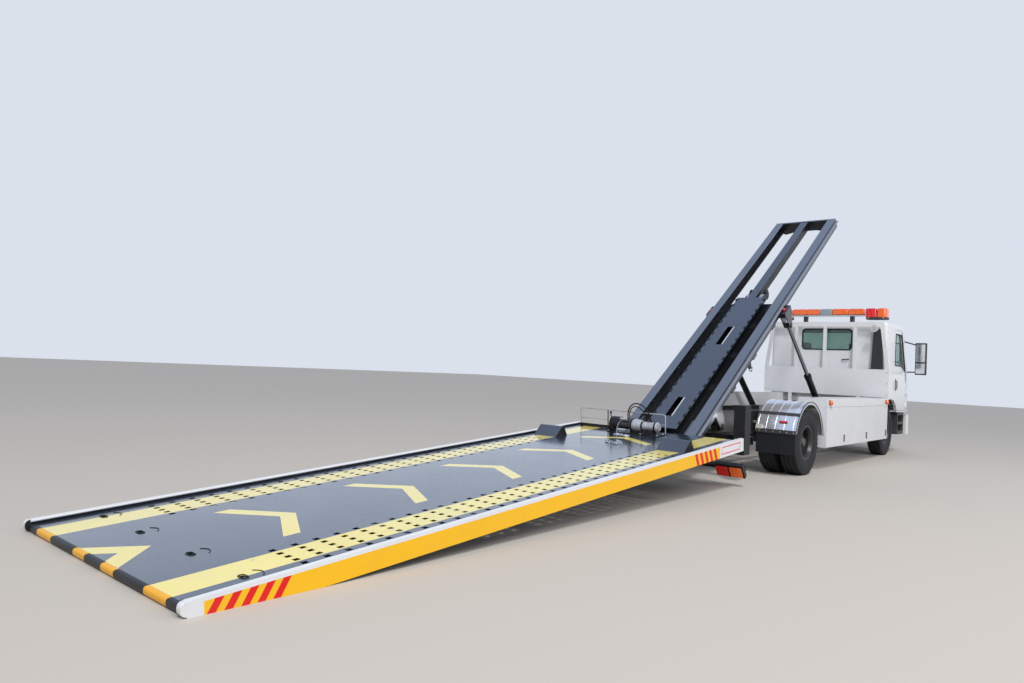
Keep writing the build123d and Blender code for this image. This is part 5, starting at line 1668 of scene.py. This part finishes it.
def makeRearFittings(values):
    # a small white housing and a grab handle on the back of the cab
    bm = bmesh.new()
    addLathe(bm, [(0.026, 0.0), (0.026, 0.040), (0.022, 0.048), (0.010, 0.051), (0.0, 0.051)],
             facingBack(*values["housing"]), 0, 28)
    addRod(bm, [fromAxle(*point) for point in values["handle"]], 0.009, material=1)
    finishPiece(bm, "rearFittings", "cab", ["plateWhite", "blackPlastic"])


makeHeadboardTrim(headboardValues)
makeRearFittings(rearFittingValues)
print("body trim ready")


# cross beam under the frame's back end with its box posts; the left post doesn't show above the deck
beamValues = {
    "front": -1.340,
    "back": -1.440,
    "low": 0.440,
    "high": 0.540,
    "half": 0.883,
    "wall": 0.008,
    "postBack": -1.600,
    "postIn": 0.745,
    "postLow": 0.330,
    "tops": ((-1, 0.905), (1, 0.600)),
}


def addTube(bm, low, high, wall, place=Matrix(), material=0):
    # an upright square tube with open ends
    low, high = Vector(low), Vector(high)
    rings = []
    for inset, z in ((0, low.z), (0, high.z), (wall, high.z), (wall, low.z)):
        x0, x1, y0, y1 = low.x + inset, high.x - inset, low.y + inset, high.y - inset
        corners = ((x0, y0), (x1, y0), (x1, y1), (x0, y1))
        rings.append([bm.verts.new(place @ Vector((x, y, z))) for x, y in corners])
    bridge(bm, rings, material, closed=True)


def makeRearBeam(values):
    bm = bmesh.new()
    low, high, half, wall = values["low"], values["high"], values["half"], values["wall"]
    shift = Matrix.Translation(fromAxle(0, 0, 0))
    lying = Matrix(((1, 0, 0, 0), (0, 0, 1, 0), (0, -1, 0, 0), (0, 0, 0, 1)))
    addTube(bm, (values["back"], -high, -half), (values["front"], -low, half), wall, shift @ lying)
    for side, top in values["tops"]:
        near, far = side * values["postIn"], side * half
        y0, y1 = min(near, far), max(near, far)
        back, front = values["postBack"], values["back"]
        addTube(bm, (back, y0, values["postLow"]), (front, y1, top - 0.006), wall, shift)
        addBox(bm, (back - 0.004, y0 - 0.004, top - 0.006), (front + 0.004, y1 + 0.004, top), shift)
        for z in (0.470, 0.510):
            for y in (y0 + 0.030, y1 - 0.030):
                addNut(bm, facingBack(values["postBack"], y, z), 0.010, 0.009, 1)
        gusset = [(values["back"], low - 0.060), (values["back"] + 0.070, low), (values["back"], low)]
        addPlate(bm, gusset, 0.008, facing(fromAxle(0, (y0 + y1) / 2, 0), (0, -1, 0)), 0)
    finishPiece(bm, "rearBeam", "chassis", ["blackPaint", "castIron"], bevel=0.0015, angle=34,
                replaces=["rear_beam"], segments=1)


makeRearBeam(beamValues)


# cab: window rubbers, door trim, mirror glass, grille backing and wipers

cabValues = {
    "half": 1.000,
    "back": 3.950,
    "front": 5.560,
    "rearWindow": (-0.430, 0.430, 1.820, 2.190, 0.060),
    # door window and the black band ahead of it, x and z
    "window": ((4.555, 1.585), (4.555, 2.150), (4.960, 2.150), (5.265, 1.495), (5.000, 1.585)),
    "band": ((4.972, 2.150), (4.975, 2.214), (5.000, 2.214), (5.316, 1.560), (5.345, 1.300), (5.318, 1.300),
             (5.276, 1.495)),
    "handle": (4.602, 4.646, 1.130, 1.345),
    # windscreen: middle of its face, the way it looks, its width and slanted height
    "screenMiddle": (5.3174, 1.910),
    "screenAxis": (0.907, 0, 0.4215),
    "screen": (1.810, 0.6727),
    "screenCorner": 0.050,
}
screenPlace = facing(fromAxle(cabValues["screenMiddle"][0], 0, cabValues["screenMiddle"][1]),
                     cabValues["screenAxis"], (0, 1, 0))


def aroundCorners(points, radius, steps=4):
    # the same closed outline with each corner turned by a small arc
    result = []
    count = len(points)
    for index, point in enumerate(points):
        corner = Vector(point)
        before, after = Vector(points[index - 1]), Vector(points[(index + 1) % count])
        first = corner + (before - corner).normalized() * radius
        last = corner + (after - corner).normalized() * radius
        for step in range(steps + 1):
            share = step / steps
            result.append(first * (1 - share) ** 2 + corner * 2 * share * (1 - share) + last * share ** 2)
    return result


def makeDoorTrim(side, word, values):
    bm = bmesh.new()
    y = side * (values["half"] + 0.0005)
    outline = aroundCorners([(x, z) for x, z in values["window"]], 0.030)
    addRod(bm, [fromAxle(x, y, z) for x, z in outline], 0.0085, material=0, sides=8, closed=True)
    face = facing(fromAxle(0, side * (values["half"] - 0.001), 0), (0, side, 0))
    addPlate(bm, [(x, -side * z) for x, z in values["band"]], 0.0035, face, 1)
    low, high = values["handle"][:2], values["handle"][2:]
    middle = facing(fromAxle((low[0] + low[1]) / 2, side * (values["half"] - 0.002), (high[0] + high[1]) / 2),
                    (0, side, 0), (0, 0, 1))
    addPlate(bm, roundedOutline(high[1] - high[0], low[1] - low[0], 0.018), 0.006, middle, 1)
    grip = [(-0.080, 0, 0.004), (-0.072, 0, 0.022), (-0.050, 0, 0.028), (0.050, 0, 0.028), (0.072, 0, 0.022),
            (0.080, 0, 0.004)]
    addRod(bm, grip, 0.0085, middle, 1, 10)
    addBar(bm, (-0.094, 0, 0.004), (-0.094, 0, 0.010), 0.009, middle, 2, 16)
    finishPiece(bm, "doorTrim" + word.title(), "door_" + word,
                ["flapRubber", "blackPlastic", "machinedSteel"], bevel=0.001)


def cutAway(node, cutter):
    # a copy of a node's mesh with the cutter's form taken out
    bm = bmesh.new()
    bm.from_mesh(nodes[node].data)
    bmesh.ops.remove_doubles(bm, verts=bm.verts, dist=1e-5)
    made = []
    for part in (bm, cutter):
        mesh = bpy.data.meshes.new("scrap")
        part.to_mesh(mesh)
        part.free()
        made.append(bpy.data.objects.new("scrap", mesh))
        scene.collection.objects.link(made[-1])
    cut = made[0].modifiers.new("cut", "BOOLEAN")
    cut.object = made[1]
    cut.solver = "EXACT"
    ready = made[0].evaluated_get(bpy.context.evaluated_depsgraph_get())
    result = bmesh.new()
    result.from_mesh(ready.to_mesh())
    for scrap in made:
        bpy.data.meshes.remove(scrap.data)
    return result


def makeCabFront(values):
    # the windscreen's opening goes right through the front panel, and the panes fill it and the rear window
    wide, tall = values["screen"]
    cutter = bmesh.new()
    addPlate(cutter, roundedOutline(wide, tall, values["screenCorner"], 6), 0.200,
             screenPlace @ Matrix.Translation((0, 0, -0.140)), 0)
    bmesh.ops.recalc_face_normals(cutter, faces=cutter.faces)
    front = cutAway("cab_front", cutter)
    for face in front.faces:
        face.material_index = 0
    finishPiece(front, "cabFront", "cab", ["whitePaint"], angle=32, replaces=["cab_front"])
    panes = bmesh.new()
    addPlate(panes, roundedOutline(wide + 0.004, tall + 0.004, values["screenCorner"], 6), 0.006,
             screenPlace @ Matrix.Translation((0, 0, -0.024)), 0)
    right, left, low, high, corner = values["rearWindow"]
    back = facing(fromAxle(values["back"] + 0.024, 0, (low + high) / 2), (-1, 0, 0), (0, 1, 0))
    addPlate(panes, roundedOutline(left - right, high - low, corner, 8), 0.006, back, 0)
    finishPiece(panes, "cabPanes", "cab", ["cabGlass"], replaces=["cab_glass"])


def makeCabTrim(values):
    bm = bmesh.new()
    right, left, low, high, corner = values["rearWindow"]
    outline = roundedOutline(left - right, high - low, corner, 8)
    ring = [fromAxle(values["back"] - 0.001, (left + right) / 2 + dy, (low + high) / 2 + dz)
            for dy, dz in outline]
    addRod(bm, ring, 0.011, material=0, sides=10, closed=True)
    wide, tall = values["screen"]
    outline = roundedOutline(wide - 0.010, tall - 0.010, values["screenCorner"], 6)
    addRod(bm, [(x, y, 0.002) for x, y in outline], 0.014, screenPlace, closed=True)
    for side in (1, -1):
        root, elbow = (side * 0.420, -0.372, 0.022), (side * 0.385, -0.300, 0.026)
        tip = (side * 0.160, -0.010, 0.006)
        addBar(bm, (root[0], root[1], -0.004), (root[0], root[1], 0.026), 0.014, screenPlace, 1, 16)
        addRod(bm, [root, elbow, tip], 0.006, screenPlace, 1, 8)
        blade = [(tip[0] + side * share * 0.160, tip[1] - share * 0.300, -0.008) for share in (-0.35, 0.85)]
        addBar(bm, blade[0], blade[1], 0.006, screenPlace, 0, 8)
        addBar(bm, (tip[0], tip[1], -0.008), tip, 0.005, screenPlace, 1, 8)
    front = values["front"]
    addBox(bm, fromAxle(front - 0.052, -0.630, 0.950), fromAxle(front - 0.046, 0.630, 1.186), material=1)
    for row in range(4):
        z = 0.960 + row * 0.062
        for step in range(24):
            y = -0.600 + step * 0.052
            low = fromAxle(front - 0.046, y - 0.003, z + 0.002)
            high = fromAxle(front - 0.018, y + 0.003, z + 0.028)
            addBox(bm, low, high, material=1)
    finishPiece(bm, "cabTrim", "cab", ["flapRubber", "blackPlastic"])


mirrorValues = {
    "face": (5.5352, 1.200),
    "width": 0.152,
    # middle and height of the large pane and of the small one below it
    "panes": ((1.855, 0.330), (1.568, 0.190)),
    "rim": 0.018,
    "clamp": (5.580, 1.140),
    "clampHeights": (1.520, 2.012),
}


def makeMirrorGlass(values):
    bm = bmesh.new()
    wide, rim = values["width"], values["rim"]
    for side in (1, -1):
        x, y = values["face"]
        for z, height in values["panes"]:
            face = facing(fromAxle(x, side * y, z), (-1, 0, 0), (0, 1, 0))
            addPlate(bm, roundedOutline(wide + rim, height + rim, 0.020), 0.003, face, 1)
            addPlate(bm, roundedOutline(wide, height, 0.014), 0.005, face, 0)
        x, y = values["clamp"]
        for z in values["clampHeights"]:
            addLathe(bm, [(0.024, -0.020), (0.026, -0.014), (0.026, 0.014), (0.024, 0.020)],
                     facing(fromAxle(x, side * y, z), (0, 0, 1)), 1, 20)
    finishPiece(bm, "mirrorGlass", "cab", ["polishedPlate", "blackPlastic"], bevel=0.001)


for side, word in bothSides:
    makeDoorTrim(side, word, cabValues)
makeCabFront(cabValues)
makeCabTrim(cabValues)
makeMirrorGlass(mirrorValues)
print("cab trim ready")


# cab interior: two sprung seats, the dash and the steering wheel

seatValues = {
    "x": 4.230,
    "floor": 0.905,
    "y": (-0.470, 0.470),
    "cushion": (0.530, 0.490, 0.150),
    "back": (0.130, 0.480, 0.740),
    "lean": -8,
}


def addCushion(bm, size, place, crown, channels, material=0):
    # a rounded box whose sides pull in between its corners, crowned on top, with sewn channels
    fresh = bmesh.new()
    bmesh.ops.create_cube(fresh, size=2)
    bmesh.ops.subdivide_edges(fresh, edges=fresh.edges[:], cuts=17, use_grid_fill=True)
    copies = {}
    for vert in fresh.verts:
        x, y, z = vert.co
        bulk = (abs(x) ** 7 + abs(y) ** 7 + abs(z) ** 7) ** (1 / 7)
        x, y, z = x / bulk, y / bulk, z / bulk
        pull = 1 - 0.030 * (1 - abs(z) ** 2)
        swell = crown * max(0.0, 1 - x * x) * max(0.0, 1 - y * y)
        sewn = sum(math.exp(-((y - channel) / 0.035) ** 2) for channel in channels)
        sewn += 0.9 * math.exp(-((abs(x) - 0.80) / 0.03) ** 2) if abs(y) < 0.93 else 0
        lift = (swell - 0.006 * sewn) if z > 0.3 else 0
        copies[vert] = bm.verts.new(place @ Vector((x * size[0] / 2 * pull, y * size[1] / 2 * pull,
                                                    z * size[2] / 2 + lift)))
    for face in fresh.faces:
        bm.faces.new([copies[vert] for vert in face.verts]).material_index = material
    fresh.free()


def makeSeats(values):
    bm = bmesh.new()
    base = bmesh.new()
    long, wide, thick = values["cushion"]
    depth, across, tall = values["back"]
    sewn = (-0.42, 0.0, 0.42)
    upright = Matrix.Rotation(math.radians(90), 4, "Y")
    lean = Matrix.Rotation(math.radians(values["lean"]), 4, "Y")
    top = values["floor"] + 0.330
    for y in values["y"]:
        seat = Matrix.Translation(fromAxle(values["x"] + long / 2, y, top - thick / 2 - 0.010))
        addCushion(bm, (long - 0.004, wide - 0.004, thick), seat, 0.012, sewn)
        hinge = Matrix.Translation(fromAxle(values["x"] - 0.060, y, values["floor"] + 0.290)) @ lean
        rest = hinge @ Matrix.Translation((depth / 2 - 0.006, 0, 0.035 + (tall - 0.190) / 2)) @ upright
        addCushion(bm, (tall - 0.190, across, depth - 0.016), rest, 0.010, sewn)
        head = hinge @ Matrix.Translation((depth / 2 - 0.006, 0, tall - 0.065)) @ upright
        addCushion(bm, (0.150, 0.270, depth - 0.024), head, 0.006, ())
        for dy in (-0.07, 0.07):
            post = Matrix.Translation(fromAxle(values["x"] - 0.060, y + dy, values["floor"] + 0.290)) @ lean
            addBar(base, (depth / 2 - 0.006, 0, tall - 0.180), (depth / 2 - 0.006, 0, tall - 0.110), 0.006,
                   post, 1, 10)
        addBox(base, fromAxle(values["x"] + 0.040, y - 0.200, values["floor"] + 0.001),
               fromAxle(values["x"] + long - 0.060, y + 0.200, top - thick - 0.006), material=0)
        for dy in (-0.215, 0.205):
            addBox(base, fromAxle(values["x"] + 0.020, y + dy, values["floor"] + 0.040),
                   fromAxle(values["x"] + long - 0.030, y + dy + 0.012, values["floor"] + 0.080), material=1)
    cushions = finishPiece(bm, "seatCushions", "cab", ["seatCloth"], angle=60)
    return base


dashValues = {
    # x back from the cab's front, z
    "section": ((0.360, 1.180), (0.346, 1.400), (0.318, 1.472), (0.290, 1.480), (0.140, 1.480),
                (0.125, 1.470), (0.070, 1.220), (0.070, 1.020), (0.260, 1.020)),
    "cluster": ((0.345, 1.440), (0.330, 1.560), (0.300, 1.572), (0.180, 1.500), (0.180, 1.470)),
    "dials": (0.380, 0.560),
    "vents": (-0.620, -0.420, -0.060, 0.140),
    "wheel": (0.520, 0.470, 1.540),
    "wheelRadius": 0.200,
}


def makeDash(bm, values):
    front = cabValues["front"]
    for key, left, wide in (("section", 0.935, 1.870), ("cluster", 0.680, 0.420)):
        outline = [(front - back, z) for back, z in values[key]]
        addPlate(bm, outline, wide, facing(fromAxle(0, left, 0), (0, -1, 0)))
    for y in values["dials"]:
        dial = facing(fromAxle(front - 0.3385, y, 1.500), (-0.99, 0, 0.12), (0, 1, 0))
        addLathe(bm, [(0.056, 0.0), (0.058, 0.008), (0.050, 0.008), (0.048, 0.003), (0.0, 0.003)], dial, 2,
                 28)
    for y in values["vents"]:
        vent = facing(fromAxle(front - 0.3445, y, 1.380), (-0.998, 0, 0.06), (0, 1, 0))
        addPlate(bm, roundedOutline(0.130, 0.060, 0.012), 0.006, vent, 2)
        for row in range(4):
            addBox(bm, (-0.056, -0.020 + row * 0.013, 0.004), (0.056, -0.017 + row * 0.013, 0.010), vent, 1)
    addBox(bm, fromAxle(front - 0.260, -0.060, 0.906), fromAxle(front - 0.080, 0.060, 1.030), material=0)
    wheelBack, wheelY, wheelZ = values["wheel"]
    wheelX = front - wheelBack
    spin = Matrix.Translation(fromAxle(wheelX, wheelY, wheelZ)) @ Matrix.Rotation(math.radians(118), 4, "Y")
    addRod(bm, circlePoints(values["wheelRadius"], 48), 0.0128, spin, 2, 12, closed=True)
    hub = [(0.0, -0.020), (0.038, -0.020), (0.046, 0.000), (0.038, 0.016), (0.020, 0.020), (0.0, 0.020)]
    addLathe(bm, hub, spin, 2, 24)
    for angle in (90, -90, 0):
        cosine, sine = math.cos(math.radians(angle)), math.sin(math.radians(angle))
        addBar(bm, (0.030 * cosine, 0.030 * sine, 0), (0.196 * cosine, 0.196 * sine, 0), 0.011, spin, 2, 10)
    addBar(bm, fromAxle(wheelX, wheelY, wheelZ), fromAxle(front - 0.260, wheelY, 1.400), 0.024, material=0,
           sides=20)
    finishPiece(bm, "cabInterior", "cab", ["liningPlastic", "castIron", "blackPlastic"], bevel=0.003,
                replaces=["cab_interior"])


makeDash(makeSeats(seatValues), dashValues)
print("interior ready")
